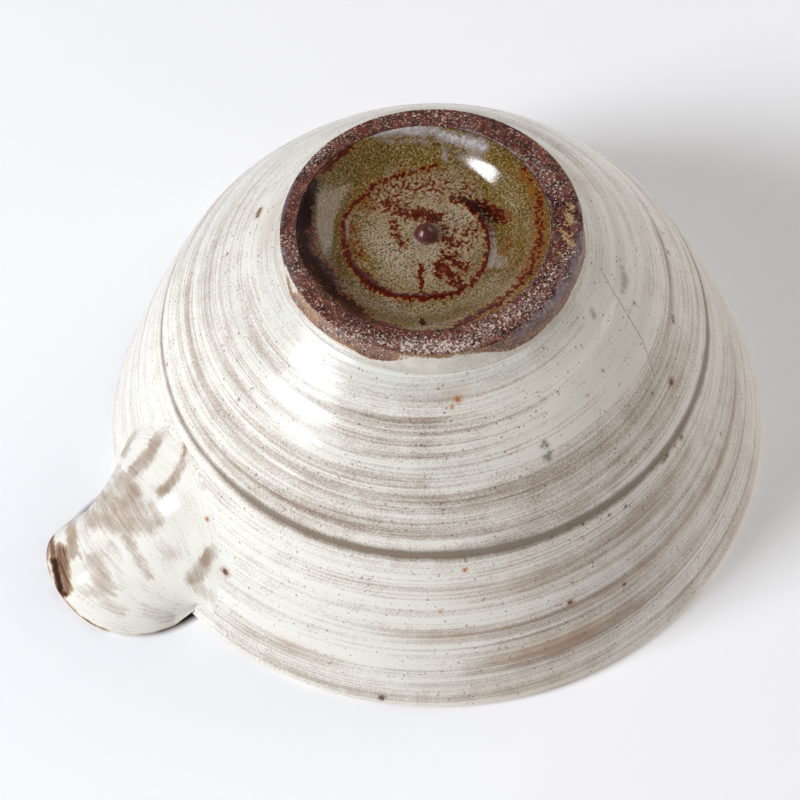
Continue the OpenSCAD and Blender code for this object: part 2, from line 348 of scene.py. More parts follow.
# %% [markdown]
# The wall is a thrown shape: two gentle curves that meet at an incised groove, one from the foot to the
# groove and one from the groove to the rim. Each curve is a Bezier whose middle point is pushed out from
# the chord by twice the swell, so the swell is how far the clay bellies out. The inside is two curves
# again, rim to hip and hip to floor.

# %% Profile of the bowl
FOOT_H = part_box("foot_ring")[1][2] / MM
BASE_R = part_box("foot_ring")[1][0] / MM
WELL_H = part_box("foot_glaze")[1][2] / MM
GROOVE_R, GROOVE_H = 59.8, 33.0
HIP_SWELL, WALL_SWELL = 2.25, 0.75
RIM_T, WALL_T, FLOOR_T, FLOOR_R = 3.6, 7.0, 7.0, 33.0
INSIDE_LEAN_DEG = 20
RIM_ROUND = RIM_T / 2
CURVE_POINTS = 300


def bezier(points, share):
    """Bezier curve: every control point weighs in by its Bernstein share."""
    share = np.asarray(share, dtype=float)[..., None]
    order = len(points) - 1
    weights = [math.comb(order, k) * (1 - share) ** (order - k) * share**k for k in range(order + 1)]
    return sum(weight * np.asarray(point) for weight, point in zip(weights, points))


def swelling(start, end, swell):
    """Middle point of a curve between two others that bellies out from their chord by the swell."""
    chord = unit(end - start)
    return (start + end) / 2 + 2 * swell * np.array([chord[1], -chord[0]])


def joined(first, second):
    """Points of two curves that meet, and the distance of each point along them from the first."""
    share = np.linspace(0, 1, CURVE_POINTS)
    line = np.concatenate([bezier(first, share), bezier(second, share)[1:]])
    return line, lengths(line)


def lengths(line):
    """Distance along a line of points, from its first point."""
    return np.r_[0, np.cumsum(np.linalg.norm(np.diff(line, axis=0), axis=1))]


base_edge = np.array([BASE_R, FOOT_H])
groove_mid = np.array([GROOVE_R, GROOVE_H])
rim_edge = np.array([RIM_R, RIM_H - RIM_ROUND])
outside, outside_reach = joined(
    [base_edge, swelling(base_edge, groove_mid, HIP_SWELL), groove_mid],
    [groove_mid, swelling(groove_mid, rim_edge, WALL_SWELL), rim_edge],
)
outside_slope = np.gradient(outside, outside_reach, axis=0)
GROOVE_REACH, RIM_REACH = outside_reach[CURVE_POINTS - 1], outside_reach[-1]

lean = math.radians(INSIDE_LEAN_DEG)
leaning = np.array([math.sin(lean), math.cos(lean)])
rim_in = rim_edge - np.array([RIM_T, 0.0])
hip_in = np.array([GROOVE_R - WALL_T, GROOVE_H + WALL_T / 2])
floor_edge = np.array([FLOOR_R, FOOT_H + FLOOR_T])
rise = np.linalg.norm(rim_in - hip_in) / 3
fall = np.linalg.norm(hip_in - floor_edge) / 2
inside, inside_reach = joined(
    [rim_in, rim_in + (hip_in - rim_in) / 3, hip_in + rise * leaning, hip_in],
    [hip_in, hip_in - fall * leaning, floor_edge, [0.0, FOOT_H + FLOOR_T]],
)


def wall_radius(z):
    """Radius of the wall's outside at a height, read off the profile."""
    return np.interp(z, outside[:, 1], outside[:, 0])


def inside_radius(z):
    """Radius of the wall's inside at a height, read off the profile."""
    return np.interp(z, inside[::-1, 1], inside[::-1, 0])


def along_wall(reach, table_of):
    """Columns of a table made for the outside's points, each read off at a distance along the wall."""
    return [np.interp(reach, outside_reach, column) for column in table_of.T]


print("mm along the wall: groove at", round(GROOVE_REACH, 1), "and rim at", round(RIM_REACH, 1))

# %% [markdown]
# A hand-thrown wall isn't a perfect turned shape. Seeded smooth noise, closed round the pot, gives it the
# unevenness that breaks up the reflection of the window: slow throwing rings, a few turning steps, and
# the fine ridges that the slip brush left. Everything goes inwards, so the pot keeps its outside size.

# %% Unevenness of the thrown wall
NOISE_ROWS = 256
FRONT_DEG = -61.0
SLANT_MM = 1.7
# Turning steps: mm from the foot, depth and half width in mm.
TURNING_STEPS = ((9.3, 0.26, 1.5), (17.2, 0.14, 1.2), (25.5, 0.18, 2.2), (52.0, 0.16, 2.6), (63.0, 0.14, 2.0))
GROOVE_W, GROOVE_DEPTH, GROOVE_SHARPNESS = 3.0, 0.32, 1.5
GROOVE_LOW, GROOVE_WAVE = 1.1, 1.7
# Kinds of noise, here and later: amount, spacing in mm along the wall, cells round the pot, seed.
THROWING_RINGS, BRUSH_RIDGES, WALL_PATCHES = (0.10, 5.0, 5, 11), (0.035, 1.3, 14, 12), (0.05, 6.0, 40, 13)


def soft_noise(turns, steps, cells, seed):
    """Smooth noise from -1 to 1: seeded numbers at the corners of a grid, eased from one to the next. Turns
    of the pot run over a whole number of cells, so the noise closes on itself, and steps count the other
    cells."""
    table_of = np.random.default_rng(seed).uniform(-1.0, 1.0, (cells, NOISE_ROWS))
    across, along = np.broadcast_arrays(turns * cells, steps)
    low_a, low_b = np.floor(across), np.floor(along)
    ease_a, ease_b = [f * f * (3 - 2 * f) for f in (across - low_a, along - low_b)]
    i, j = low_a.astype(int) % cells, low_b.astype(int) % NOISE_ROWS
    k, m = (i + 1) % cells, (j + 1) % NOISE_ROWS
    near = table_of[i, j] * (1 - ease_b) + table_of[i, m] * ease_b
    far = table_of[k, j] * (1 - ease_b) + table_of[k, m] * ease_b
    return near * (1 - ease_a) + far * ease_a


def noise_of(kind, turns, along):
    """Noise of a kind: its amount times smooth noise with its spacing, cells and seed."""
    amount, spacing, cells, seed = kind
    return amount * soft_noise(turns, along / spacing, cells, seed)


def bell(x, width):
    """A smooth hump of height 1 at x = 0 that has faded away at about twice the width."""
    return np.exp(-((x / width) ** 2))


def ease(x, low, high):
    """Smooth step from 0 at low to 1 at high."""
    share = np.clip((x - low) / (high - low), 0, 1)
    return share * share * (3 - 2 * share)


def within(x, start, full, until, end):
    """1 from full to until, eased down to 0 at the start and at the end."""
    return ease(x, start, full) * (1 - ease(x, until, end))


def brush_line(reach, degrees):
    """Distance along the wall with the slant of the brush taken out: the strokes tip by a small slow wave
    round the pot, so a stroke is a line of constant brush distance."""
    return reach - SLANT_MM * np.sin(np.radians(degrees - FRONT_DEG))


def groove_line(degrees):
    """Distance along the wall of the incised groove, which wanders a little round the pot."""
    return GROOVE_REACH + GROOVE_LOW - GROOVE_WAVE * np.cos(np.radians(degrees - FRONT_DEG))


def hollowing(reach, degrees):
    """How deep the wall lies under its smooth profile, in mm: the turning steps, the groove, throwing rings
    and brush ridges. Each part is zero or positive."""
    line = brush_line(reach, degrees)
    depth = sum(deep * bell(line - place, width) for place, deep, width in TURNING_STEPS)
    depth = depth + GROOVE_DEPTH * bell(reach - groove_line(degrees), GROOVE_W / 2) ** GROOVE_SHARPNESS
    for kind, along in ((THROWING_RINGS, line), (BRUSH_RIDGES, line), (WALL_PATCHES, reach)):
        depth = depth + kind[0] + noise_of(kind, degrees / 360, along)
    return depth


print("deepest mark on the wall:", round(float(hollowing(outside_reach, FRONT_DEG).max()), 2), "mm")

# %% [markdown]
# The slip was brushed on in rings, and where the brush ran dry the grey-brown body shows through. Those
# dry strokes are listed as a potter would point them out: how far from the foot, how wide, from which
# bearing to which, and how dry. They become one value on every vertex, the slip cover, and the material
# breaks its edge up with bristle lines.

# %% Dry strokes on the wall
# Each stroke: mm from the foot, width in mm, from and to in degrees round the pot, dryness from 0 to 1.
DRY_STROKES = (
    (9.6, 1.0, -66, 6, 0.8), (4.5, 2.2, -72, -54, 0.5), (6.0, 1.6, -30, 20, 0.3),
    (12.0, 0.7, -100, -60, 0.4), (3.6, 1.6, -150, -84, 0.3), (14.2, 0.8, 2, 72, 0.45),
    (17.0, 0.6, -74, -38, 0.75), (18.5, 1.4, 16, 52, 0.3), (22.6, 1.2, -62, -4, 0.7),
    (26.2, 1.9, -176, 0, 0.75), (26.2, 1.0, 0, 64, 0.5), (29.2, 1.2, -140, -60, 0.6),
    (30.2, 0.8, -20, 40, 0.4), (33.2, 1.6, -135, -16, 0.65), (35.6, 1.0, -125, -70, 0.4),
    (37.2, 0.5, -165, -58, 0.4), (44.2, 0.9, -132, -68, 0.6), (47.6, 1.5, -125, -76, 0.7),
    (50.4, 1.6, -116, -66, 0.85), (54.0, 0.9, -160, -40, 0.4), (57.6, 1.5, -165, -104, 0.7),
    (60.2, 1.7, -152, -52, 0.95), (64.0, 1.1, -106, -70, 0.7), (68.4, 1.8, -138, -66, 0.7),
    (71.2, 1.1, -100, -64, 0.85), (70.8, 1.8, -40, -29, 0.8), (75.6, 2.4, -46, -33, 0.5),
    (77.5, 1.2, -140, -104, 0.6), (12.5, 1.6, 80, 170, 0.6), (21.0, 1.4, 66, 150, 0.65),
    (33.0, 1.6, 40, 176, 0.7), (47.0, 1.5, 60, 172, 0.65), (55.0, 1.8, 34, 120, 0.7),
    (61.0, 1.6, 90, 190, 0.7), (69.5, 1.8, 50, 140, 0.7), (86.0, 1.6, 20, 300, 0.6),
    (97.0, 2.0, 60, 250, 0.6), (112.0, 2.2, 100, 330, 0.6), (128.0, 2.0, 0, 240, 0.6),
)
STROKE_FADE_DEG = 9.0
# Patches: degrees round the pot, mm from the foot, half width in degrees, half height in mm, strength.
# Here the slip is warm in colour, the clear glaze has pooled, or the slip lies thin. Where the strength is
# negative the slip is whiter: painted light on the side away from the window.
WARM_PATCHES = (
    (-122, 48.0, 52, 36.0, 0.26), (-73, 76.0, 14, 4.0, 0.35), (-82, 67.5, 13, 2.6, 0.9),
    (-62, 60.0, 8, 1.5, 0.55), (-67, 4.0, 6, 2.0, 0.5), (43, 2.4, 15, 2.4, 0.5), (-179, 4.0, 5, 4.0, 0.5),
    (-36, 71.0, 6, 2.0, 0.4), (-75, 49.0, 12, 2.5, 0.35), (-105, 61.0, 22, 2.0, 0.3),
    (-130, 78.5, 14, 1.5, 0.5), (-80, 79.0, 10, 1.2, 0.5), (110, 60.0, 20, 2.5, 0.4),
    (170, 30.0, 18, 2.5, 0.35),
)
POOLED_PATCHES = (
    (-15, 62.0, 34, 12.0, 0.5), (-61, 2.0, 60, 3.0, 0.55), (120, 2.0, 120, 3.0, 0.5),
    (-96, 56.0, 14, 2.0, 0.5), (-50, 62.0, 10, 3.0, 0.35), (-8, 58.0, 10, 8.0, 0.35),
    (-60, 20.0, 20, 2.0, 0.3), (-70, 74.0, 16, 2.0, 0.35), (30, 20.0, 16, 5.0, 0.3),
)
THIN_SLIP_AND_PAINTED_LIGHT_PATCHES = (
    (38, 24.0, 30, 14.0, 0.16), (-52, 11.0, 30, 6.0, 0.2), (-30, 33.0, 26, 7.0, 0.2),
    (-95, 30.0, 40, 9.0, 0.12), (-88, 68.0, 22, 6.0, 0.24), (-70, 76.0, 16, 4.0, 0.16),
    # Negative strengths, at -132, -100 and -110 degrees, are painted light: whiter slip on the side away from
    # the window.
    (2, 33.0, 12, 5.0, 0.12), (-55, 16.0, 16, 5.0, 0.08), (-132, 12.0, 34, 10.0, -0.26),
    (-100, 16.0, 26, 7.0, -0.1), (-110, 31.0, 30, 8.0, -0.08), (-24, 74.0, 9, 3.0, 0.2),
)
COVER_MEAN, DRY_WEIGHT = 0.84, 0.38
COVER_BANDS, COVER_LINES = (0.12, 2.6, 7, 21), (0.10, 0.9, 11, 22)
# The side away from the window: from and to in degrees round the pot, loss of cover. The loss is partly
# thinner slip and partly painted shade.
FAR_SIDE_THIN_SLIP_AND_SHADE = (-190, -75, 0.05)


def bearing_off(degrees, centre):
    """Degrees round the pot from a bearing, the short way."""
    return np.abs((degrees - centre + 180) % 360 - 180)


def bearing_window(degrees, start, end):
    """1 between two bearings and 0 outside them, with soft ends."""
    half = (end - start) / 2
    return 1 - ease(bearing_off(degrees, (start + end) / 2), half - STROKE_FADE_DEG, half + STROKE_FADE_DEG)


def patches(spots, reach, degrees):
    """Sum of soft oval patches."""
    return sum(
        strength * bell(bearing_off(degrees, place), wide) * bell(reach - along, high)
        for place, along, wide, high, strength in spots
    )


def wall_cover(reach, degrees):
    """Slip cover from 0, bare body, to 1, thick white: full cover less every dry stroke, with slow
    unevenness."""
    line = brush_line(reach, degrees)
    cover = COVER_MEAN + sum(noise_of(kind, degrees / 360, line) for kind in (COVER_BANDS, COVER_LINES))
    # Partly painted shade: the slip is greyer on the side away from the window.
    start, end, loss = FAR_SIDE_THIN_SLIP_AND_SHADE
    # Negative thin patches whiten the slip here as painted light.
    cover = cover - loss * bearing_window(degrees, start, end) - patches(THIN_SLIP_AND_PAINTED_LIGHT_PATCHES, reach, degrees)
    dry = sum(
        depth * bell(line - place, width) * bearing_window(degrees, start, end)
        for place, width, start, end, depth in DRY_STROKES
    )
    return np.clip(cover - DRY_WEIGHT * dry, 0, 1)


print(len(DRY_STROKES), "dry strokes on the wall")

# %% [markdown]
# The bowl is one closed surface: from the middle of its underside out, up the outside, over the rim, down
# the inside and across the floor. Rows follow that profile and columns go round. At the spout the wall is
# cut down in a U, so there the top of each column drops to the sill. Columns are spaced along the U,
# which keeps its upright sides smooth.

# %% Bowl
NOTCH_HALF_DEG, NOTCH_DEPTH, NOTCH_SQUARENESS = 12.2, 26.0, 1.75
NOTCH_COLUMNS, WALL_COLUMNS = 64, 404
OUTSIDE_ROWS, CREST_ROWS, INSIDE_ROWS = 142, 12, 44
# Underside, hidden by the foot: radius and height.
UNDERSIDE = ((0.0, WELL_H), (12.0, WELL_H), (20.0, WELL_H), (29.0, FOOT_H))
FOOT_FADE, RIM_FADE = 1.0, 1.5
INSIDE_CROWDING, INSIDE_RINGS = 0.9, (0.12, 6.0, 6, 31)
CALM_FLOOR_R, CALM_RIM_SHARE = 12, 0.1
OVER_CREST = 3
WORN_FROM, WORN_FULL, WORN_MEAN, WORN_NOISE = 1.5, 0.3, 0.55, (0.3, 1.0, 40, 32)
# Bearings between which the groove's dark band is made fainter and narrower, and how far that moves its edge
# in.
FAINT_GROOVE_FROM, FAINT_GROOVE_TO, FAINT_GROOVE_MM = -15, 100, 0.45
# A distance at which neither the groove nor the scratch shows.
FAR_MM = 9.0
# A hairline scratch: degrees round the pot and mm from the foot of its corners.
SCRATCH = ((-139.75, 3.7), (-135.75, 7.3), (-133.0, 10.4), (-128.5, 18.3), (-123.75, 25.8))
SCRATCH_END = 60.0


def notch_columns():
    """Bearing and drop of the rim for each column. Across the notch a half turn is swept: its sine, rounded
    to a squarer U, gives the bearing, and its cosine the depth. The rest of the wall is evenly
    divided."""
    sweep = np.linspace(-math.pi / 2, math.pi / 2, NOTCH_COLUMNS)
    across = NOTCH_HALF_DEG * np.sign(sweep) * np.abs(np.sin(sweep)) ** (1 / NOTCH_SQUARENESS)
    rest = np.linspace(NOTCH_HALF_DEG, 360 - NOTCH_HALF_DEG, WALL_COLUMNS + 2)[1:-1]
    return np.r_[across, rest], np.r_[NOTCH_DEPTH * np.cos(sweep), np.zeros(WALL_COLUMNS)]


def bowl_grid():
    """Points of the bowl and the values on them. Outside rows share the way from the foot to the top of
    their own column, the crest is half an ellipse from the outside to the inside, and inside rows run
    down to the floor."""
    degrees, drop = notch_columns()
    top_z = rim_edge[1] - drop
    top_reach = np.interp(top_z, outside[:, 1], outside_reach)
    reach = np.linspace(0, 1, OUTSIDE_ROWS)[:, None] * top_reach
    r, z = along_wall(reach, outside)
    tilt_r, tilt_z = along_wall(reach, outside_slope)
    around = np.broadcast_to(degrees, reach.shape)
    depth = hollowing(reach, around) * within(reach, 0, FOOT_FADE, RIM_REACH - RIM_FADE, RIM_REACH)
    out_r, out_z = r - depth * tilt_z, z + depth * tilt_r

    top_in = np.interp(-top_z, -inside[:CURVE_POINTS, 1], inside_reach[:CURVE_POINTS])
    run = np.linspace(0, 1, INSIDE_ROWS)[:, None] ** INSIDE_CROWDING
    down = top_in + run * (inside_reach[-1] - top_in)
    in_r, in_z = [np.interp(down, inside_reach, column) for column in inside.T]
    rings = noise_of(INSIDE_RINGS, around[:1] / 360, down)
    in_z = in_z + rings * ease(in_r, 0, CALM_FLOOR_R) * ease(run, 0, CALM_RIM_SHARE)

    arc = np.linspace(0, math.pi, CREST_ROWS + 2)[1:-1][:, None]
    crest_r = (out_r[-1] + in_r[0]) / 2 + (out_r[-1] - in_r[0]) / 2 * np.cos(arc)
    crest_z = out_z[-1] + (in_z[0] - out_z[-1]) * (1 - np.cos(arc)) / 2 + RIM_ROUND * np.sin(arc)

    under_r, under_z = np.transpose(UNDERSIDE)[..., None] + 0 * degrees
    radius = np.concatenate([under_r, out_r, crest_r, in_r])
    height = np.concatenate([under_z, out_z, crest_z, in_z])
    radius[-1] = 0.0
    height[-1] = FOOT_H + FLOOR_T
    crest_reach = reach[-1] + crest_z - out_z[-1]
    total = np.concatenate([0 * under_r, reach, crest_reach, RIM_REACH + OVER_CREST + down])
    return np.broadcast_to(degrees, total.shape), radius, height, total


def round_layers(around, total):
    """Values that the brushed slip reads: rings, the direction round the pot with the brush distance; the
    slip cover; and tints, how much glaze has pooled, how warm the slip is, and how much iron clay
    shows."""
    rings = turned(1.0, around, brush_line(total, around))
    pooled, warm = [patches(spots, total, around) for spots in (POOLED_PATCHES, WARM_PATCHES)]
    return rings, wall_cover(total, around), np.stack([pooled, warm, 0 * warm], axis=-1)


def scratch_offset(reach, degrees):
    """Distance in mm round the pot from a hairline scratch, negative on one side. Beyond the ends it is made
    so steep that nothing shows. The scratch is a line of straight stretches on the unrolled wall."""
    bearings, along = np.transpose(SCRATCH)
    aside = (degrees - np.interp(reach, along, bearings) + 180) % 360 - 180
    beyond = (reach < along[0]) | (reach > along[-1])
    return np.radians(aside) * along_wall(reach, outside)[0] * np.where(beyond, SCRATCH_END, 1.0)


def make_bowl():
    """The bowl's mesh with its brushed-slip values."""
    around, radius, height, total = bowl_grid()
    rings, cover, tints = round_layers(around, total)
    worn = WORN_MEAN + noise_of(WORN_NOISE, around / 360, total)
    tints[..., 2] = np.clip(ease(height, RIM_H - WORN_FROM, RIM_H - WORN_FULL) * worn, 0, 1)
    from_groove = np.where(total < RIM_REACH, np.abs(total - groove_line(around)), FAR_MM)
    from_groove = from_groove + FAINT_GROOVE_MM * bearing_window(around, FAINT_GROOVE_FROM, FAINT_GROOVE_TO)
    return grid_mesh("bowl_wall", turned(radius, around, height), {
        "rings": rings, "cover": cover, "tints": tints, "groove": from_groove,
        "scratch": scratch_offset(total, around),
    })


bowl = make_bowl()
print("bowl: volume and triangles", enclosed(bowl))

# %% [markdown]
# The spout is an open channel pulled from a slab and luted over the notch. Its outside is a loft: each
# line runs from the rounded lip down to a root curve on the wall, leaving the lip steeply and arriving
# along the wall, so the clay flows into the bowl as it does after smoothing with a finger. The inside
# does the same from the lip to the sill. The lip is skewed a little to one side, as on the real pot.

# %% Skins of the spout
SPOUT_W, SPOUT_T = 38.0, 4.0
LIP_X, LIP_ROUND, LIP_CORNER, LIP_SKEW = 79.66, 16.8, 0.91, 2.3
LIP_DIP, LIP_ARC, LIP_EDGE, LIP_SLOPE_DEG, LIP_PULL = 3.0, 0.82, 0.9, 48, 14
LIP_PINCH, PINCH_FROM, PINCH_FULL = 1.8, 0.35, 0.75
LIP_TAPER, LIP_SUNK = 0.8, 2.0
ROOT_W, ROOT_Z, SEAT_Z, ROOT_PULL = 48.0, 35.0, 67.0, 8.0
SKIN_SPAN = 40.0
SILL_Z, SILL_HALF, SILL_SQUARENESS = 45.0, 14.0, 0.8
SILL_WAY, SILL_PULL = np.array([0.75, 0.0, 0.2]), 0.33
TILT_STEP = 0.5


def wall_point(y, z):
    """Point of the wall's outside at a sideways place and a height: x closes the circle of the wall
    there."""
    return np.stack([np.sqrt(wall_radius(z) ** 2 - y**2), y, z], axis=-1)


def lip_turn(t):
    """Turn of the lip for t from -1 to 1: a quarter turn either way over its arc, and no more beyond."""
    return math.pi / 2 * np.clip(t / LIP_ARC, -1, 1)


def lip_point(t, inset, drop):
    """Lip of the spout for t from -1 to 1: half an oval, squared at its corners and skewed, then a run back
    to the wall at either end that dips below the rim. There it tapers and sinks into the wall beside the
    notch. One side of it was pinched in a little."""
    turn_by = lip_turn(t)
    run = np.maximum(0, (np.abs(t) - LIP_ARC) / (1 - LIP_ARC))
    inset = inset * (1 - LIP_TAPER * run)
    y = (SPOUT_W / 2 - inset) * np.sign(t) * np.abs(np.sin(turn_by)) ** LIP_CORNER
    y = y - LIP_PINCH * ease(t, PINCH_FROM, PINCH_FULL)
    z = RIM_H - LIP_DIP * run - drop
    forward = np.clip(np.cos(turn_by), 0, 1) ** LIP_CORNER
    end_x = LIP_X + (LIP_ROUND - inset) * forward + LIP_SKEW * np.sin(turn_by)
    x = end_x + (wall_point(y, z)[..., 0] - LIP_SUNK - end_x) * run
    return np.stack([x, y, z], axis=-1)


def lip_way(t):
    """Direction in which the skin leaves the lip: inwards and down, by the lip's slope."""
    turn_by = lip_turn(t)
    flat = unit(np.stack([np.cos(turn_by) / LIP_ROUND, np.sin(turn_by) / (SPOUT_W / 2)], axis=-1))
    slope = math.radians(LIP_SLOPE_DEG)
    return -np.concatenate([flat * math.cos(slope), np.full((*t.shape, 1), math.sin(slope))], axis=-1)


def root_point(t):
    """Root of the spout on the wall: half an ellipse hanging from the seat."""
    turn_by = math.pi / 2 * t
    return wall_point(ROOT_W / 2 * np.sin(turn_by), SEAT_Z - (SEAT_Z - ROOT_Z) * np.cos(turn_by))


def root_way(t):
    """Direction along the wall, square to the root curve and towards the spout."""
    x, y, z = np.moveaxis(root_point(t), -1, 0)
    side = np.arctan2(y, x)
    tilt = (wall_radius(z + TILT_STEP) - wall_radius(z - TILT_STEP)) / (2 * TILT_STEP)
    up = unit(np.stack([tilt * np.cos(side), tilt * np.sin(side), np.ones_like(t)], axis=-1))
    across = np.stack([np.sin(side), -np.cos(side), np.zeros_like(t)], axis=-1)
    turn_by = math.pi / 2 * t
    square = unit(np.stack([np.cos(turn_by) / (SEAT_Z - ROOT_Z), np.sin(turn_by) / (ROOT_W / 2)], axis=-1))
    return unit(up * square[..., :1] + across * square[..., 1:])


def outer_skin(t, s):
    """Outside of the spout: a cubic from the lip (s = 0) to the root (s = 1), slack in proportion to its
    span."""
    lip, root = lip_point(t, 0.0, LIP_EDGE), root_point(t)
    pull = np.minimum(1, np.linalg.norm(root - lip, axis=-1, keepdims=True) / SKIN_SPAN)
    return bezier([lip, lip + LIP_PULL * pull * lip_way(t), root + ROOT_PULL * pull * root_way(t), root], s)


def sill_point(t):
    """Edge of the notch on the inside of the wall, where the channel runs out into the bowl."""
    turn_by = lip_turn(t)
    y = SILL_HALF * np.sin(turn_by)
    z = SEAT_Z - (SEAT_Z - SILL_Z) * np.clip(np.cos(turn_by), 0, 1) ** SILL_SQUARENESS
    return np.stack([np.sqrt(inside_radius(z) ** 2 - y**2), y, z], axis=-1)


def inner_skin(t, s):
    """Inside of the spout: a cubic from the lip (s = 0) over the sill to the inside of the wall (s = 1)."""
    lip, sill = lip_point(t, SPOUT_T, LIP_EDGE), sill_point(t)
    slack = SILL_PULL * np.linalg.norm(sill - lip, axis=-1, keepdims=True)
    return bezier([lip, lip + slack * lip_way(t), sill + slack * SILL_WAY, sill], s)


print("tip of the lip at", lip_point(np.zeros(1), 0.0, 0.0)[0].round(1), "mm")

# %% [markdown]
# Marks on the spout, the foot ring and the well are placed by the photograph. Each is a soft straight
# stroke between two of its pixels, and the camera says which pixel a point of the surface lies on.

# %% Marks on the spout
# Each mark: pixels across and down at both ends, half width in pixels, strength. Dry strokes come first,
# with a few that darken the valley where the spout meets the wall, then bare iron clay at the lip, then
# marks of the potter's fingers, in mm and negative for a hollow.
SPOUT_DRY = (
    (95, 519, 138, 522, 13, 0.75), (106, 502, 134, 508, 13, 0.75), (122, 480, 133, 496, 11, 0.75),
    (140, 515, 146, 524, 10, 0.6), (128, 478, 148, 456, 7, 0.85), (148, 456, 164, 428, 6, 0.95),
    (122, 454, 135, 430, 4, 0.9), (135, 430, 147, 405, 3.6, 0.9), (161, 492, 176, 478, 5.5, 0.85),
    (176, 478, 184, 460, 5, 0.85), (183, 460, 187, 438, 3.6, 1.0), (125, 535, 140, 562, 5.5, 0.65),
    (140, 562, 150, 576, 4.5, 0.5), (94, 560, 108, 590, 10, 0.65), (88, 592, 103, 594, 6, 0.45),
    # The strokes from (194, 578) to (214, 551), and the one from (198, 588), darken the valley where the
    # spout meets the wall.
    (70, 520, 74, 556, 6, 0.85), (150, 508, 158, 521, 7, 0.5), (194, 578, 206, 564, 9, 0.7),
    (205, 562, 214, 551, 7, 1.15), (198, 588, 212, 597, 6, 0.35), (146, 612, 168, 617, 7, 0.35),
    (106, 602, 122, 612, 6, 0.35), (118, 468, 122, 488, 5, 0.5), (160, 545, 176, 556, 6, 0.2),
    (112, 545, 120, 560, 5, 0.25), (100, 470, 112, 492, 4, 0.4), (82, 530, 96, 556, 6, 0.25),
    (108, 554, 124, 584, 6, 0.22),
)
DARK_LIP = (
    (61, 550, 63, 572, 8, 0.7), (64, 572, 68, 590, 6, 0.7), (54, 560, 60, 588, 4.5, 1.15),
    (50, 530, 54, 560, 4, 0.75), (59, 591, 66, 594, 3.0, 1.0), (49, 535, 47, 558, 2.5, 0.6),
    (70, 520, 73, 545, 4, 0.3), (62, 598, 80, 617, 2.2, 0.5), (80, 617, 97, 628, 2.4, 0.6),
    (184, 456, 185, 444, 2.5, 0.5),
)
FINGER_MARKS = (
    (147, 516, 160, 514, 23, 0.85), (70, 586, 72, 582, 15, 0.75), (128, 474, 162, 432, 7, -0.35),
    (127, 447, 145, 411, 5, -0.3), (166, 484, 186, 445, 6, -0.25), (147, 488, 168, 455, 9, 0.2),
    (140, 436, 128, 466, 6, 0.2), (125, 537, 148, 574, 6, -0.1), (95, 560, 108, 590, 8, -0.1),
)
# Kinds of noise on the spout: amount, spacing as a share of the skin from lip to root, cells across,
# seed. The first three are in pixels: they make the edges of strokes wander, and comb them along the
# brush.
RAGGED_X = ((1.2, 1 / 40, 60, 64), (1.2, 1 / 100, 130, 73))
RAGGED_Y = ((1.2, 1 / 40, 60, 66), (1.2, 1 / 100, 130, 75))
COMBED = ((3.5, 1 / 70, 6, 67), (3.5, 1 / 150, 9, 68))
SPOUT_COVER, LIP_WEAR, SPOUT_LUMPS = (0.10, 1 / 9, 16, 61), (0.25, 1 / 9, 30, 63), (0.25, 1 / 4, 7, 71)
COMB_FROM, COMB_UNTIL, COMB_LOSS = 0.4, 0.65, 0.85
SPOUT_COVER_MEAN, SPOUT_DRY_WEIGHT = 0.92, 0.76
LIP_WEAR_MEAN, LIP_WEAR_SHARE = 0.42, 0.022
MOST_MARK = 1.2
# How sharply strokes end: soft like a finger's, firm, or crisp like a brush's.
SOFT, FIRM, CRISP = 2, 3, 4


def pixel_strokes(strokes, px, sharp):
    """Sum of the rises and hollows of some soft strokes, each the straight line between two pixels of the
    photograph with a half width and a strength: the strongest of the positive ones and of the negative
    ones."""
    high, low = 0.0, 0.0
    for *ends, half, strength in strokes:
        start, end = np.reshape(ends, (2, 2))
        way = end - start
        along = np.clip((px - start) @ way / max(way @ way, 1), 0, 1)
        away = np.linalg.norm(px - start - along[..., None] * way, axis=-1)
        mark = strength * np.exp(-((away / half) ** sharp))
        high, low = np.maximum(high, mark), np.minimum(low, mark)
    return high + low


def spout_layers(px, t, s):
    """Values on the spout's outside: its slip cover less the dry strokes, with edges that wander, and iron
    where the lip was left bare."""
    wave = t / 2 + 0.5
    wander_x, wander_y, combed = [
        sum(noise_of(kind, wave, s) for kind in kinds) for kinds in (RAGGED_X, RAGGED_Y, COMBED)
    ]
    combed = combed * (1 - COMB_LOSS * ease(s, COMB_FROM, COMB_UNTIL))
    wander = np.stack([wander_x, wander_y], axis=-1) + combed[..., None] * unit(np.gradient(px, axis=1))
    cover = SPOUT_COVER_MEAN + noise_of(SPOUT_COVER, wave, s)
    cover = cover - SPOUT_DRY_WEIGHT * pixel_strokes(SPOUT_DRY, px + wander, CRISP)
    edge = (1 - ease(s, 0.0, LIP_WEAR_SHARE)) * (LIP_WEAR_MEAN + noise_of(LIP_WEAR, wave, s))
    bare = pixel_strokes(DARK_LIP, px + wander / 2, FIRM)
    return np.clip(cover, 0, 1), np.clip(np.maximum(bare, edge), 0, MOST_MARK)


print(len(SPOUT_DRY), "dry strokes and", len(FINGER_MARKS), "finger marks on the spout")

# %% [markdown]
# The spout's grid goes from the root up the outside, over the lip and down the channel. Near the root it
# takes over the wall's own unevenness and slip, so that no seam shows.

# %% Spout
SPOUT_COLUMNS, SKIN_ROWS, INNER_ROWS, LIP_ROWS = 240, 110, 60, 12
SEAM_DEG = 50
SPOUT_ACROSS_MM, SPOUT_DOWN_MM = 30.0, 38.0
# Another place in the bristle noise than the wall's.
SPOUT_APART = 7.0
# Where marks show, from the lip to the root: start, full, until, end.
FINGERS_WITHIN, LUMPS_WITHIN = (0.0, 0.1, 0.9, 1.0), (0.05, 0.2, 0.8, 1.0)
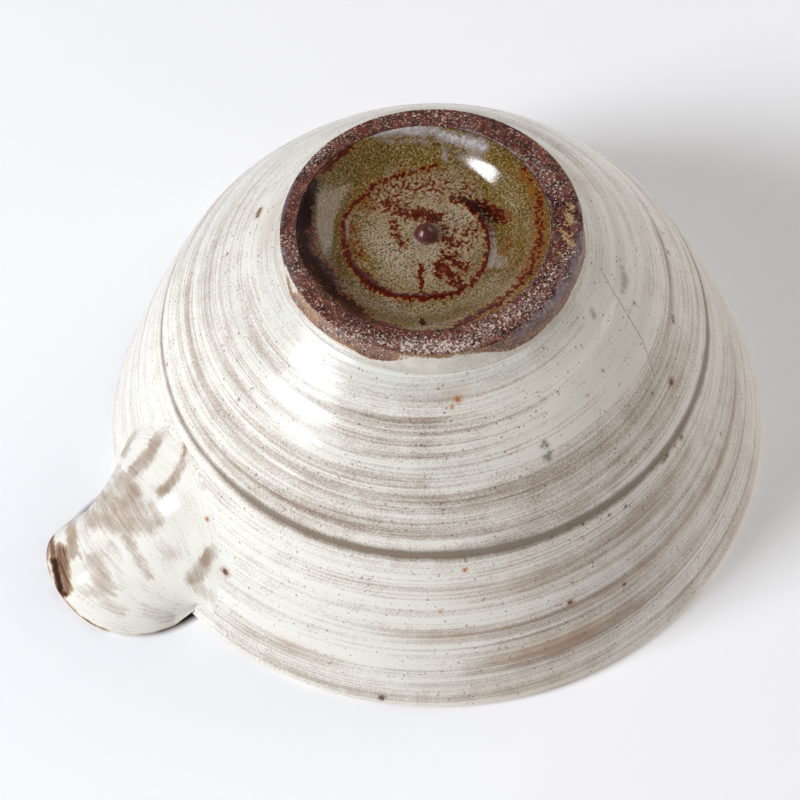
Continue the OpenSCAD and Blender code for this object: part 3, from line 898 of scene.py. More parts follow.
# Shares of the way from the root: the wall's hollows have gone, the buried edge has come up, own slip
# begins and is full. At either side of the skin its marks fade out.
HOLLOWS_GONE, EDGE_UP, OWN_FROM, OWN_FULL, SIDE_FADE = 0.4, 0.05, 0.02, 0.22, 0.9
EDGE_SUNK = 0.35
CHANNEL_COVER, SPOUT_POOLED, SPOUT_WARM = 0.9, 0.2, 0.5


def lifted(points, height):
    """Points of a grid moved along its normal, which stands square to its columns and rows."""
    normal = unit(np.cross(np.gradient(points, axis=1), np.gradient(points, axis=0)))
    return points + normal * height[..., None]


def settled(points, share, degrees, reach):
    """Points of the spout, moved on to the uneven wall near the root: the wall's own hollows come in towards
    the root, and the last edge sinks under the surface, so no step shows."""
    tilt_r, tilt_z = along_wall(reach, outside_slope)
    hollows = hollowing(reach, degrees) * (1 - ease(share, 0.0, HOLLOWS_GONE))
    depth = hollows + EDGE_SUNK * (1 - ease(share, 0.0, EDGE_UP))
    return points - turned(tilt_z, degrees, -tilt_r) * depth[..., None]


def spout_grid(t, s_out, s_in):
    """Points of the spout, and the share of the way from the root and from the lip to each of its rows."""
    outer = outer_skin(*np.broadcast_arrays(t, s_out))
    fingers = pixel_strokes(FINGER_MARKS, to_pixel(outer), SOFT) * within(s_out, *FINGERS_WITHIN)
    lumps = noise_of(SPOUT_LUMPS, t / 2 + 0.5, s_out) * within(s_out, *LUMPS_WITHIN)
    outer = lifted(outer, (fingers + lumps) * (1 - ease(np.abs(t), SIDE_FADE, 1.0)))
    inner = inner_skin(*np.broadcast_arrays(t, s_in))
    arc = np.linspace(0, math.pi, LIP_ROWS + 2)[1:-1][:, None]
    lip = lip_point(*np.broadcast_arrays(t, SPOUT_T / 2 * (1 - np.cos(arc)), LIP_EDGE * (1 - np.sin(arc))))
    from_root = np.concatenate([1 - s_out, 0 * arc + 1, 0 * s_in + 1]) + 0 * t
    from_lip = np.concatenate([s_out, 0 * arc, s_in]) + 0 * t
    return np.concatenate([outer, lip, inner]), from_root, from_lip


def capped(values):
    """A grid turned on its side, so that its rows become closed loops, with the loop at either end gathered
    to a point. The ends and the side that closes the loops lie inside the wall."""
    loops = np.swapaxes(values, 0, 1)[::-1]
    ends = [np.broadcast_to(loops[k].mean(axis=0), loops[k].shape)[None] for k in (0, -1)]
    return np.concatenate([ends[0], loops, ends[1]])


def make_spout():
    """The spout's mesh with its brushed-slip values. Its grid closes inside the wall. Edges there stay
    sharp, so they don't bend the shading of what shows."""
    t = np.linspace(-1, 1, SPOUT_COLUMNS)[None, :]
    s_out, s_in = np.linspace(1, 0, SKIN_ROWS)[:, None], np.linspace(0, 1, INNER_ROWS)[:, None]
    points, share, down = spout_grid(t, s_out, s_in)
    degrees = np.degrees(np.arctan2(points[..., 1], points[..., 0]))
    reach = np.interp(points[..., 2], outside[:, 1], outside_reach)
    points = settled(points, share, degrees, reach)
    rings, wall, tints = round_layers(degrees, reach)
    across = t + 0 * down
    strokes = [across * SPOUT_ACROSS_MM, 0 * across + SPOUT_APART, down * SPOUT_DOWN_MM]
    shown = SKIN_ROWS + LIP_ROWS
    cover, iron = np.full_like(share, CHANNEL_COVER), np.zeros_like(share)
    cover[:shown], iron[:shown] = spout_layers(to_pixel(points[:shown]), across[:shown], down[:shown])
    own = ease(share, OWN_FROM, OWN_FULL)
    pooled, warm = [tints[..., k] * (1 - own) for k in (0, 1)]
    tints = np.stack([pooled + SPOUT_POOLED * own, warm + SPOUT_WARM * own * (1 - cover), iron], axis=-1)
    layers = {
        "rings": rings, "cover": wall + (cover - wall) * own, "tints": tints, "spout": own,
        "strokes": np.stack(strokes, axis=-1), "scratch": 0 * own + FAR_MM,
        "groove": np.abs(reach - groove_line(degrees)) + FAR_MM * own,
    }
    layers = {label: capped(rows) for label, rows in layers.items()}
    piece = grid_mesh("spout_channel", capped(points), layers)
    piece.data.set_sharp_from_angle(angle=math.radians(SEAM_DEG))
    return piece


spout = make_spout()
print("spout: volume and triangles", enclosed(spout))

# %% [markdown]
# The foot ring was turned from the same clay and left bare. Its ground face is gritty and worn, its edges
# are chipped, and the side flares into the wall. The section is a short list of corners rounded off, and
# the grit is real relief made from fine noise.

# %% Marks on the foot ring
# Each mark: pixels across and down at both ends, half width in pixels, strength. They are pale grit baked
# on, clay melted to a red gloss, thin bluish glaze with a painted sheen, white glaze run down the side,
# and ochre grains.
PALE_CRUST = (
    (330, 330, 405, 346, 10, 0.4), (406, 347, 470, 346, 9, 0.8), (532, 158, 558, 190, 9, 0.35),
    (466, 342, 540, 297, 12, 0.5), (540, 295, 568, 255, 10, 0.45), (288, 240, 300, 300, 8, 0.4),
    (300, 300, 330, 330, 9, 0.35), (300, 170, 350, 125, 7, 0.4), (350, 120, 470, 118, 8, 0.2),
)
MELTED_RED = (
    (556, 196, 568, 216, 10, 1.0), (568, 216, 562, 258, 11, 1.0), (518, 146, 534, 160, 6, 0.5),
    (560, 260, 530, 300, 10, 0.6),
)
# Grey-violet marks along the ring's edges: thin glaze, with a painted sheen where the edges catch light.
LILAC_GLAZE_AND_PAINTED_SHEEN = (
    (458, 130, 500, 149, 5.5, 0.9), (500, 149, 528, 172, 5.5, 0.9), (528, 172, 546, 202, 5, 0.8),
    (546, 202, 549, 236, 4, 0.7), (549, 236, 540, 268, 3, 0.5), (540, 268, 500, 305, 2.5, 0.4),
    (281, 225, 292, 180, 3.5, 0.7), (292, 180, 320, 145, 3.5, 0.6), (283, 250, 298, 300, 4, 0.6),
    (575, 180, 581, 215, 3, 0.6), (582, 232, 572, 272, 6, 0.7), (572, 272, 548, 308, 6, 0.8),
    (548, 308, 516, 336, 6, 0.7),
)
WHITE_RUNS = (
    (287, 268, 296, 290, 6, 0.9), (296, 290, 318, 318, 6, 0.6), (400, 358, 440, 361, 6, 0.8),
    (440, 361, 480, 355, 6, 0.9), (340, 346, 352, 352, 6, 0.6), (540, 330, 556, 318, 4, 0.5),
)
OCHRE_CHIPS = (
    (567, 214, 571, 222, 4, 0.9), (568, 238, 572, 245, 4, 0.8), (561, 230, 566, 236, 3, 0.7),
    (555, 250, 560, 254, 3, 0.6), (570, 205, 573, 208, 3, 0.7),
)
RING_MARKS = (PALE_CRUST, MELTED_RED, LILAC_GLAZE_AND_PAINTED_SHEEN, WHITE_RUNS, OCHRE_CHIPS)
# Bare stretches of the ring's side: from and to in degrees round the pot, share of the side's height left
# bare.
BARE_SIDES, BARE_LEAST = ((-46, 12, 0.5), (-158, -82, 0.5)), 0.1
print(sum(len(marks) for marks in RING_MARKS), "marks on the foot ring")

# %% Foot ring
RING_R, RING_W, RING_EDGE = 31.3, 5.0, 0.6
RING_BULGE, RING_BULGE_DEG = 0.8, 119.0
WELL_SHIFT, WELL_SHIFT_DEG = 1.95, 64.5
FLARE_UP, FLARE_OUT, FLARE_ALONG = 3.4, 0.1, 1.1
RING_COLUMNS, SECTION_ROWS = 900, (10, 8, 22, 8, 20)
IN_WELL, INNER_EDGE, GROUND, OUTER_EDGE, SIDE = range(5)
# Lid out of sight that closes the ring on top: its radii.
LID_R = (31.0, 29.5)
# Kinds of noise on the ring. The last ones are in pixels and in shares of the side.
RING_GRIT = ((0.09, 0.5, 360, 41), (0.10, 1.3, 150, 42))
RING_CHIPS, RING_ROCK = (1.0, 2.2, 64, 43), (0.12, 9.0, 9, 44)
RING_RUN, RING_RAGGED = (0.16, 4.0, 26, 45), ((1.5, 1.0, 120, 45), (1.5, 1.0, 120, 46))
GLAZE_EDGE, GLAZE_SOFT = (0.1, 3.0, 40, 48), 0.06
CHIP_LEAST, CHIP_DEPTH = 0.35, 0.5
RING_SUNK, GROUND_SUNK, DEEPEST, RUN_T = 0.12, 0.1, 1.0, 0.2
# Zones, counted along the section, in which something shows: start, full, until, end.
GROUND_WITHIN, RELIEF_WITHIN, RUN_WITHIN = (1.0, 2.0, 3.2, 4.0), (0, 0.6, 4.6, 4.95), (4.74, 4.94, 4.7, 4.95)
BULGE_UNTIL, BULGE_END, RUNS_FROM, RUNS_FULL = 4.1, 4.9, 3.2, 3.8


def well_radius(degrees):
    """Radius of the well's mouth. It was cut a little off centre, so the ring is wider on one side."""
    return RING_R - RING_W + WELL_SHIFT * np.cos(np.radians(degrees - WELL_SHIFT_DEG))


def ring_section():
    """Section of the ring: radius and height, zone and share of the well's shift for each row. The zones
    count the stretches of the section: well wall, inner edge, ground, outer edge and side, a whole number
    for each."""
    well = RING_R - RING_W
    share = [np.linspace(0, 1, rows, endpoint=False) for rows in SECTION_ROWS]
    turn_in, turn_out = [np.radians(90 * share[k])[:, None] for k in (INNER_EDGE, OUTER_EDGE)]
    in_well = np.array([well, FOOT_H]) + share[IN_WELL][:, None] * [0.0, RING_EDGE - FOOT_H]
    inner = np.array([well + RING_EDGE, RING_EDGE])
    inner = inner - RING_EDGE * np.hstack([np.cos(turn_in), np.sin(turn_in)])
    ground = np.array([well + RING_EDGE, 0.0]) + share[GROUND][:, None] * [RING_W - 2 * RING_EDGE, 0.0]
    outer = np.array([RING_R - RING_EDGE, RING_EDGE])
    outer = outer + RING_EDGE * np.hstack([np.sin(turn_out), -np.cos(turn_out)])
    flare = base_edge - FLARE_ALONG * unit(outside[1] - outside[0])
    corners = [[RING_R, RING_EDGE], [RING_R + FLARE_OUT, FLARE_UP], flare, base_edge]
    side = bezier(corners, np.linspace(0, 1, SECTION_ROWS[SIDE]))
    zone = np.concatenate([k + part for k, part in enumerate(share)])
    shifted = 1 - np.clip(zone - GROUND, 0, 1)
    return np.concatenate([in_well, inner, ground, outer, side]), zone[:, None], shifted[:, None]


def ring_depth(zone, turns, step):
    """How deep the ring's skin lies under its section: slow rocking, grit and chips on the ground, less the
    thin glaze that has run down from the wall."""
    grit = sum(noise_of(kind, turns, step) for kind in RING_GRIT)
    chips = CHIP_DEPTH * np.clip(noise_of(RING_CHIPS, turns, step) - CHIP_LEAST, 0, 1)
    on_ground = within(zone, *GROUND_WITHIN) * (GROUND_SUNK + grit + chips)
    depth = np.clip(RING_SUNK + noise_of(RING_ROCK, turns, step) + on_ground, 0, DEEPEST)
    start, full, until, end = RUN_WITHIN
    run = ease(zone + noise_of(RING_RUN, turns, step), start, full) * (1 - ease(zone, until, end))
    return depth * within(zone, *RELIEF_WITHIN) - RUN_T * run


def make_foot_ring():
    """The foot ring's mesh: its section carried round the axis, pitted by noise, and closed on top. The
    finish on it is pale grit, melted gloss, and glaze run down from the wall."""
    section, zone, shifted = ring_section()
    degrees = np.linspace(0, 360, RING_COLUMNS, endpoint=False)[None, :]
    turns = degrees / 360
    step = lengths(section)[:, None]
    along = np.gradient(section, axis=0)
    inward = unit(np.stack([-along[:, 1], along[:, 0]], axis=-1))
    depth = ring_depth(zone, turns, step)
    bulge = RING_BULGE * ((1 + np.cos(np.radians(degrees - RING_BULGE_DEG))) / 2) ** 2
    bulge = (1 - shifted) * bulge * (1 - ease(zone, BULGE_UNTIL, BULGE_END))
    shift = shifted * (well_radius(degrees) - RING_R + RING_W)
    radius = section[:, :1] + inward[:, :1] * depth + bulge + shift
    height = np.clip(section[:, 1:] + inward[:, 1:] * depth, 0, FOOT_H)
    points = turned(radius, degrees, height)
    lid = turned(np.array(LID_R)[:, None], degrees, FOOT_H)

    ragged = np.stack([noise_of(kind, turns, step) for kind in RING_RAGGED], axis=-1)
    crust, melted, lilac_and_painted_sheen, runs, chips = [
        np.clip(pixel_strokes(marks, to_pixel(points) + ragged, SOFT), 0, MOST_MARK) for marks in RING_MARKS
    ]
    bare = sum(share * bearing_window(degrees, start, end) for start, end, share in BARE_SIDES)
    glaze_line = SIDE + BARE_LEAST + bare + noise_of(GLAZE_EDGE, turns, step)
    wall_glaze = ease(zone, glaze_line - GLAZE_SOFT, glaze_line + GLAZE_SOFT)
    glazed = np.maximum(runs * ease(zone, RUNS_FROM, RUNS_FULL), wall_glaze)
    layers = {
        "zone": np.concatenate([zone + 0 * turns, 0 * lid[..., 0]]),
        "crust": np.concatenate([np.stack([crust, melted, lilac_and_painted_sheen], axis=-1), 0 * lid]),
        "glazed": np.concatenate([np.stack([glazed, chips, runs], axis=-1), 0 * lid]),
    }
    return grid_mesh("bare_foot_ring", np.concatenate([points, lid]), layers, loop=True)


foot_ring = make_foot_ring()
print("foot ring: volume and triangles", enclosed(foot_ring))

# %% [markdown]
# The well of the foot holds a pool of olive glaze over turning marks: a nub left at the centre, a spiral
# ridge round it, a low dome, and glaze drawn up the wall at the rim of the pool.

# %% Marks in the foot well
NUB_PX = (426, 231)
# The spiral ridge: pixels of the photograph along it, from its outer end, with the strength of its rust.
SPIRAL_PX = (
    (436, 167, 0.6), (405, 174, 0.7), (377, 184, 0.75), (352, 207, 0.75), (344, 222, 0.9),
    (344, 241, 0.95), (351, 263, 1.0), (361, 277, 1.1), (376, 288, 1.0), (396, 297, 0.95),
    (427, 298, 0.9), (453, 294, 0.75), (472, 284, 0.85), (486, 267, 1.0), (490, 250, 1.1),
    (488, 233, 1.0), (480, 217, 0.9), (468, 206, 0.7), (450, 200, 0.3), (433, 202, 0.3), (420, 211, 0.4),
)
SPIRAL_HALF_PX, SPIRAL_EXTRA = 4.6, 0.1
SPIRAL = tuple(
    (*a[:2], *b[:2], SPIRAL_HALF_PX, a[2] + SPIRAL_EXTRA) for a, b in zip(SPIRAL_PX[:-1], SPIRAL_PX[1:])
)
# Each mark: pixels across and down at both ends, half width in pixels, strength.
RUST_MARKS = (
    (388, 203, 405, 212, 12, 0.75), (370, 205, 392, 200, 14, 0.55), (393, 220, 396, 232, 7, 0.7),
    (396, 234, 404, 243, 7, 0.75), (349, 228, 359, 258, 9, 0.55), (415, 214, 437, 218, 9, 0.95),
    (380, 188, 445, 184, 12, 0.55), (452, 198, 470, 186, 12, 0.5), (440, 232, 476, 232, 14, 0.55),
    (440, 236, 455, 248, 10, 0.7), (452, 246, 470, 240, 9, 0.65), (440, 268, 456, 280, 11, 0.9),
    (446, 256, 462, 266, 10, 0.75), (420, 266, 422, 300, 4, 0.8), (400, 192, 425, 190, 12, 0.5),
    (437, 190, 440, 196, 7, 0.6), (462, 202, 478, 206, 7, 1.0), (484, 206, 503, 218, 8, 1.0),
    (484, 226, 490, 232, 7, 0.9), (362, 276, 376, 288, 6, 1.2), (360, 200, 380, 190, 8, 0.45),
    (313, 262, 330, 285, 14, 1.1), (330, 288, 364, 318, 9, 1.1), (364, 320, 400, 330, 5, 0.9),
    (456, 326, 500, 302, 5, 0.9), (500, 302, 530, 272, 6, 0.75), (530, 272, 541, 235, 7, 0.75),
    (541, 235, 538, 195, 7, 0.75), (538, 195, 524, 170, 5, 0.6), (302, 222, 308, 262, 13, 1.2),
    (322, 172, 350, 146, 5, 1.0), (500, 255, 512, 240, 8, 0.4), (300, 190, 312, 165, 6, 0.9),
    (312, 165, 332, 142, 5, 0.8),
)
# Dark marks near the well's left edge, from (300, 150) to (360, 312), are painted shade on the steep wall
# over thin dark glaze; the others are dark glaze.
DARK_GLAZE_AND_PAINTED_SHADE_MARKS = (
    (464, 200, 495, 222, 7, 0.85), (476, 208, 488, 216, 9, 0.95), (309, 184, 301, 220, 12, 1.4),
    (446, 254, 449, 258, 7, 0.6), (422, 321, 423, 323, 3, 1.5), (308, 258, 335, 292, 11, 1.05),
    (301, 225, 304, 255, 9, 1.1), (335, 292, 360, 312, 7, 0.85), (316, 172, 330, 152, 6, 0.6),
)
# Pale marks: pale glaze and crust at the well's far edge, and painted reflection of the pale surroundings on
# the far wall and in the grey spot low on the right.
MILKY_GLAZE_AND_PAINTED_REFLECTION_MARKS = (
    (366, 130, 407, 128, 9, 1.2), (407, 129, 440, 131, 8, 0.9), (440, 134, 482, 146, 9, 1.1),
    (445, 148, 468, 160, 11, 0.6), (494, 252, 498, 268, 9, 0.28), (322, 160, 340, 150, 5, 0.4),
    (440, 134, 446, 160, 4, 0.8), (380, 140, 430, 142, 6, 0.45),
)
AMBER_MARKS = (
    (524, 172, 540, 200, 9, 0.9), (540, 200, 541, 245, 10, 1.0), (541, 245, 522, 285, 9, 0.9),
    (522, 285, 470, 322, 7, 0.7), (302, 222, 308, 262, 8, 0.6), (330, 285, 350, 305, 5, 0.4),
)
WELL_MARKS = (RUST_MARKS + SPIRAL, DARK_GLAZE_AND_PAINTED_SHADE_MARKS, MILKY_GLAZE_AND_PAINTED_REFLECTION_MARKS, AMBER_MARKS)
print(sum(len(marks) for marks in WELL_MARKS), "marks in the foot well")

# %% Glaze in the foot well
WELL_DOME, DOME_R = 0.9, 13.0
NUB_R, NUB_H, NUB_ROUND = 2.7, 2.7, 0.75
NUB_INSIDE, NUB_OUTSIDE = 0.85, 1.1
RIDGE_H, GLAZE_T, SKIRT = 0.45, 0.3, 0.5
WELL_COLUMNS, FLOOR_ROWS, SIDE_ROWS = 440, 74, 60
WELL_Z, STEEP_DEG = WELL_H - GLAZE_T, 29.0
# Side of the well where it is cut steeply and, opposite, where it is rounded off to a broad shoulder: the
# four points of a curve from the mouth to the floor, each a distance in from the mouth and a height, in
# mm.
STEEP_SIDE = ((0.0, 0.6), (3.0, 3.6), (5.8, WELL_Z), (9.5, WELL_Z))
SHOULDER_SIDE = ((0.0, 0.6), (7.0, 0.9), (4.8, WELL_Z), (11.5, WELL_Z))
MOUTH_PLAY, BACK_SHARE = 0.02, 0.7
# Kinds of noise in the well, the last ones in pixels, and the radii in mm between which they show.
POOL_RIPPLE, POOL_BLISTERS = (0.05, 2.0, 22, 51), (0.03, 0.8, 120, 53)
POOL_RAGGED = ((1.6, 0.9, 130, 52), (1.6, 0.9, 130, 54))
RIPPLE_FROM_R, BLISTERS_WITHIN_R = 5, (3, 9, 12, 18)
# The olive band round the nub, in pixels: from it, and down the photograph, where it is weaker.
BAND_FROM_PX, BAND_FULL_PX = 40, 80
# The weakening towards the near side of the well is painted light: it lifts the colour where the pool lies in
# shade.
BAND_PAINTED_LIGHT_FROM_PX, BAND_PAINTED_LIGHT_FULL_PX, BAND_PAINTED_LIGHT = 255, 300, 0.5


def make_foot_glaze():
    """The pool's mesh: radius along the rows and angle along the columns, then a skirt under the ring's edge
    and a flat back out of sight. The floor is a low dome with the nub and the spiral ridge, and the side
    is a curve that goes over from steep to shouldered round the well. Noise in the material breaks marks
    up into flecks."""
    degrees = np.linspace(0, 360, WELL_COLUMNS, endpoint=False)[None, :]
    turns = degrees / 360
    mouth = well_radius(degrees) - MOUTH_PLAY
    rounded = (1 - np.cos(np.radians(degrees - STEEP_DEG)))[..., None] / 2
    corners = [near + rounded * np.subtract(far, near) for near, far in zip(STEEP_SIDE, SHOULDER_SIDE)]
    side = bezier(corners, np.linspace(1, 0, SIDE_ROWS)[:, None])
    floor_r = (mouth - side[0, :, 0]) * np.linspace(0, 1, FLOOR_ROWS, endpoint=False)[:, None]
    radius = np.concatenate([floor_r, mouth - side[..., 0]])
    height = np.concatenate([np.full_like(floor_r, WELL_Z), side[..., 1]])
    floor = turned(radius, degrees, height - WELL_DOME * bell(radius, DOME_R))
    px = to_pixel(floor)
    nub_centre = on_plane(NUB_PX, WELL_Z - WELL_DOME - NUB_H / 2)
    from_nub = np.linalg.norm(floor[..., :2] - nub_centre[:2], axis=-1) / NUB_R
    nub = NUB_H * np.clip(1 - from_nub**2, 0, 1) ** NUB_ROUND
    ridge = RIDGE_H * pixel_strokes(SPIRAL, px, SOFT)
    ripple = noise_of(POOL_RIPPLE, turns, radius) * ease(radius, 0, RIPPLE_FROM_R)
    blisters = noise_of(POOL_BLISTERS, turns, radius) * within(radius, *BLISTERS_WITHIN_R)
    floor[..., 2] += (ripple + blisters) * ease(height, 0.5 * WELL_Z, WELL_Z) - nub - ridge

    px = px + np.stack([noise_of(kind, turns, radius) for kind in POOL_RAGGED], axis=-1)
    rust, dark, milky_and_painted_reflection, amber = [pixel_strokes(marks, px, SOFT) for marks in WELL_MARKS]
    band = ease(np.linalg.norm(px - NUB_PX, axis=-1), BAND_FROM_PX, BAND_FULL_PX)
    # Painted light: the olive band is lifted towards the near side of the well, which lies in shade.
    band = band * (1 - BAND_PAINTED_LIGHT * ease(px[..., 1], BAND_PAINTED_LIGHT_FROM_PX, BAND_PAINTED_LIGHT_FULL_PX))
    marks = np.stack([rust, dark, milky_and_painted_reflection], axis=-1)
    places = np.stack([amber, 1 - ease(from_nub, NUB_INSIDE, NUB_OUTSIDE), band], axis=-1)

    back_r = np.concatenate([mouth + SKIRT, mouth + SKIRT, BACK_SHARE * mouth, 0 * mouth])
    back = turned(back_r, degrees, np.array([[floor[-1, 0, 2] + SKIRT], [FOOT_H], [WELL_H], [WELL_H]]))
    layers = {"marks": np.concatenate([marks, 0 * back]), "places": np.concatenate([places, 0 * back])}
    return grid_mesh("foot_well_glaze", np.concatenate([floor, back]), layers)


foot_glaze = make_foot_glaze()
print("foot glaze: volume and triangles", enclosed(foot_glaze))

# %% [markdown]
# Brushed slip. The body is grey-brown stoneware, the slip is a cream-white clay that the brush laid in
# lines, and the glaze over both is clear and glossy. To the eye that is white with fine grey lines round
# the pot, dry stretches where the body shows, dark specks of iron, and a sharp wet highlight.

# %% Brushed white slip under clear glaze
# Iron spots by kind: degrees round the pot, mm from the foot, radius in mm.
WALL_SPOTS = {
    "rust_brown": (
        (48.6, 7.4, 0.6), (47.2, 7.4, 0.7), (45.8, 7.3, 0.6), (-120.5, 41.2, 0.6), (-117.8, 40.9, 0.45),
        (-114.8, 40.6, 0.7),
    ),
    "plum": (
        (-141.2, 25.4, 0.55), (-140.2, 25.7, 0.55), (-160.5, 25.9, 0.5), (-136.5, 13.6, 0.4),
    ),
    "halo": (
        (-126.5, 30.4, 0.8), (-85, 58.0, 0.6), (-19, 61.3, 0.9),
    ),
    "umber": (
        (-120.2, 27.2, 0.4), (-112.8, 14.2, 0.35), (-104.8, 15.7, 0.35), (-113.9, 40.9, 0.5),
        (-96, 61.0, 0.6), (18, 38.2, 0.5), (25, 40.6, 0.5), (-51, 78.8, 0.8), (-66, 38.6, 0.4),
        (-66, 39.7, 0.4), (-84, 39.6, 0.5), (-88, 39.4, 0.4), (-91, 40.0, 0.5), (-86, 39.0, 0.4),
        (-120, 41.4, 0.4), (-97, 41.6, 0.4), (-101, 42.4, 0.4), (-113, 41.0, 0.4), (-131, 55.0, 0.4),
        (35, 14.2, 0.4),
    ),
    "slate": (
        (-88.5, 19.0, 0.5), (-88.9, 19.9, 0.45), (-87.6, 19.6, 0.35), (-88.9, 21.6, 0.5),
        (-88.1, 22.2, 0.7), (-88.3, 23.0, 0.5), (-87.3, 22.0, 0.4), (-6, 22.5, 0.4),
    ),
    "smudge": (
        (-148.0, 8.3, 0.4), (-145.5, 8.9, 0.6), (-143.2, 9.6, 0.9), (-141.6, 10.0, 1.0),
        (-139.6, 9.9, 0.9), (-137.4, 9.8, 0.6), (-124.6, 4.4, 0.7), (-123.8, 5.0, 0.6),
        (-123.2, 5.6, 0.7),
    ),
    "rust": (
        (-12, 52.0, 0.5), (-68, 5.4, 0.6), (-66, 7.0, 0.4), (-61, 53.0, 0.4), (-66, 42.5, 0.5),
    ),
}
# Kinds of spot: colour and strength of the core, colour and strength of the halo.
SPOT_KINDS = {
    "umber": ("#4E3728", 0.9, "#8E6A4A", 0.2), "halo": ("#38281E", 0.9, "#A8682E", 0.6),
    "rust": ("#A8682E", 0.9, "#C08A55", 0.4), "rust_brown": ("#63381F", 0.9, "#A8794F", 0.35),
    "slate": ("#77726E", 0.8, "#9A938C", 0.3), "smudge": ("#8A8178", 0.42, "#A9A096", 0.15),
    "plum": ("#6A5654", 0.85, "#95847A", 0.4),
}
SPOT_RAGGED = 0.4 * MM
# Start and full of a spot's halo and of its core, in radii.
HALO_R, CORE_R = (2.0, 1.0), (1.15, 0.7)
# Bristle lines: width in mm, cells round the pot per radian, length in mm on the spout, weight. They are
# drawn coarser than real ones, which are finer than a pixel of the photograph, about a quarter of a mm.
BRISTLES = ((1.4, 0.9, 16.0, 0.5), (0.5, 1.2, 10.0, 1.35))
# Fine grain and slow clouds in the slip: size in mm, detail. Then their weights.
SLIP_NOISE = ((0.4, 2.0), (5.0, 3.0))
GRAIN_WEIGHT, CLOUD_WEIGHT = 0.9, 0.5
SPOUT_UNEVEN = 0.7
SLIP_FROM, SLIP_FULL = 0.15, 0.9
# Start, full and strength of the dark colour laid in the groove and the scratch, in mm from their middle. The
# noise in the groove's edge, in mm of cloud and of grain.
GROOVE_RAMP, SCRATCH_RAMP, GROOVE_NOISE = (2.6, 1.4, 0.92), (0.26, 0.1, 0.5), (0.7, 0.8)
# Specks of iron: distance apart in mm, size in mm of the clusters that they come in, strength on wall and
# spout. Then the start and full of a cluster, and the largest speck as a share of the distance.
SPECK_MM, CLUSTER_MM, WALL_SPECKS, SPOUT_SPECKS = 1.2, 2.0, 0.6, 0.2
CLUSTER_FROM, CLUSTER_FULL, SPECK_MOST = 0.36, 0.68, 0.25
# Clay showing at the lip and the rim: start, full, strength, colour. Streaks break it up, and it has less
# sheen.
BARE_LIP = ((0.5, 0.7, 0.75, "#A98A64"), (0.7, 1.05, 0.95, "#5E3413"), (1.1, 1.4, 1.0, "#240A03"))
BARE_STREAKS, BARE_FROM, BARE_FULL = 0.6, 0.7, 1.2
ROUGH_BODY, ROUGH_SLIP, SHEEN_GLAZED, SHEEN_BARE, CLEAR_IOR = 0.3, 0.18, 0.5, 0.1, 1.5
LINE_STRENGTH, LINE_MM = 0.4, 0.06


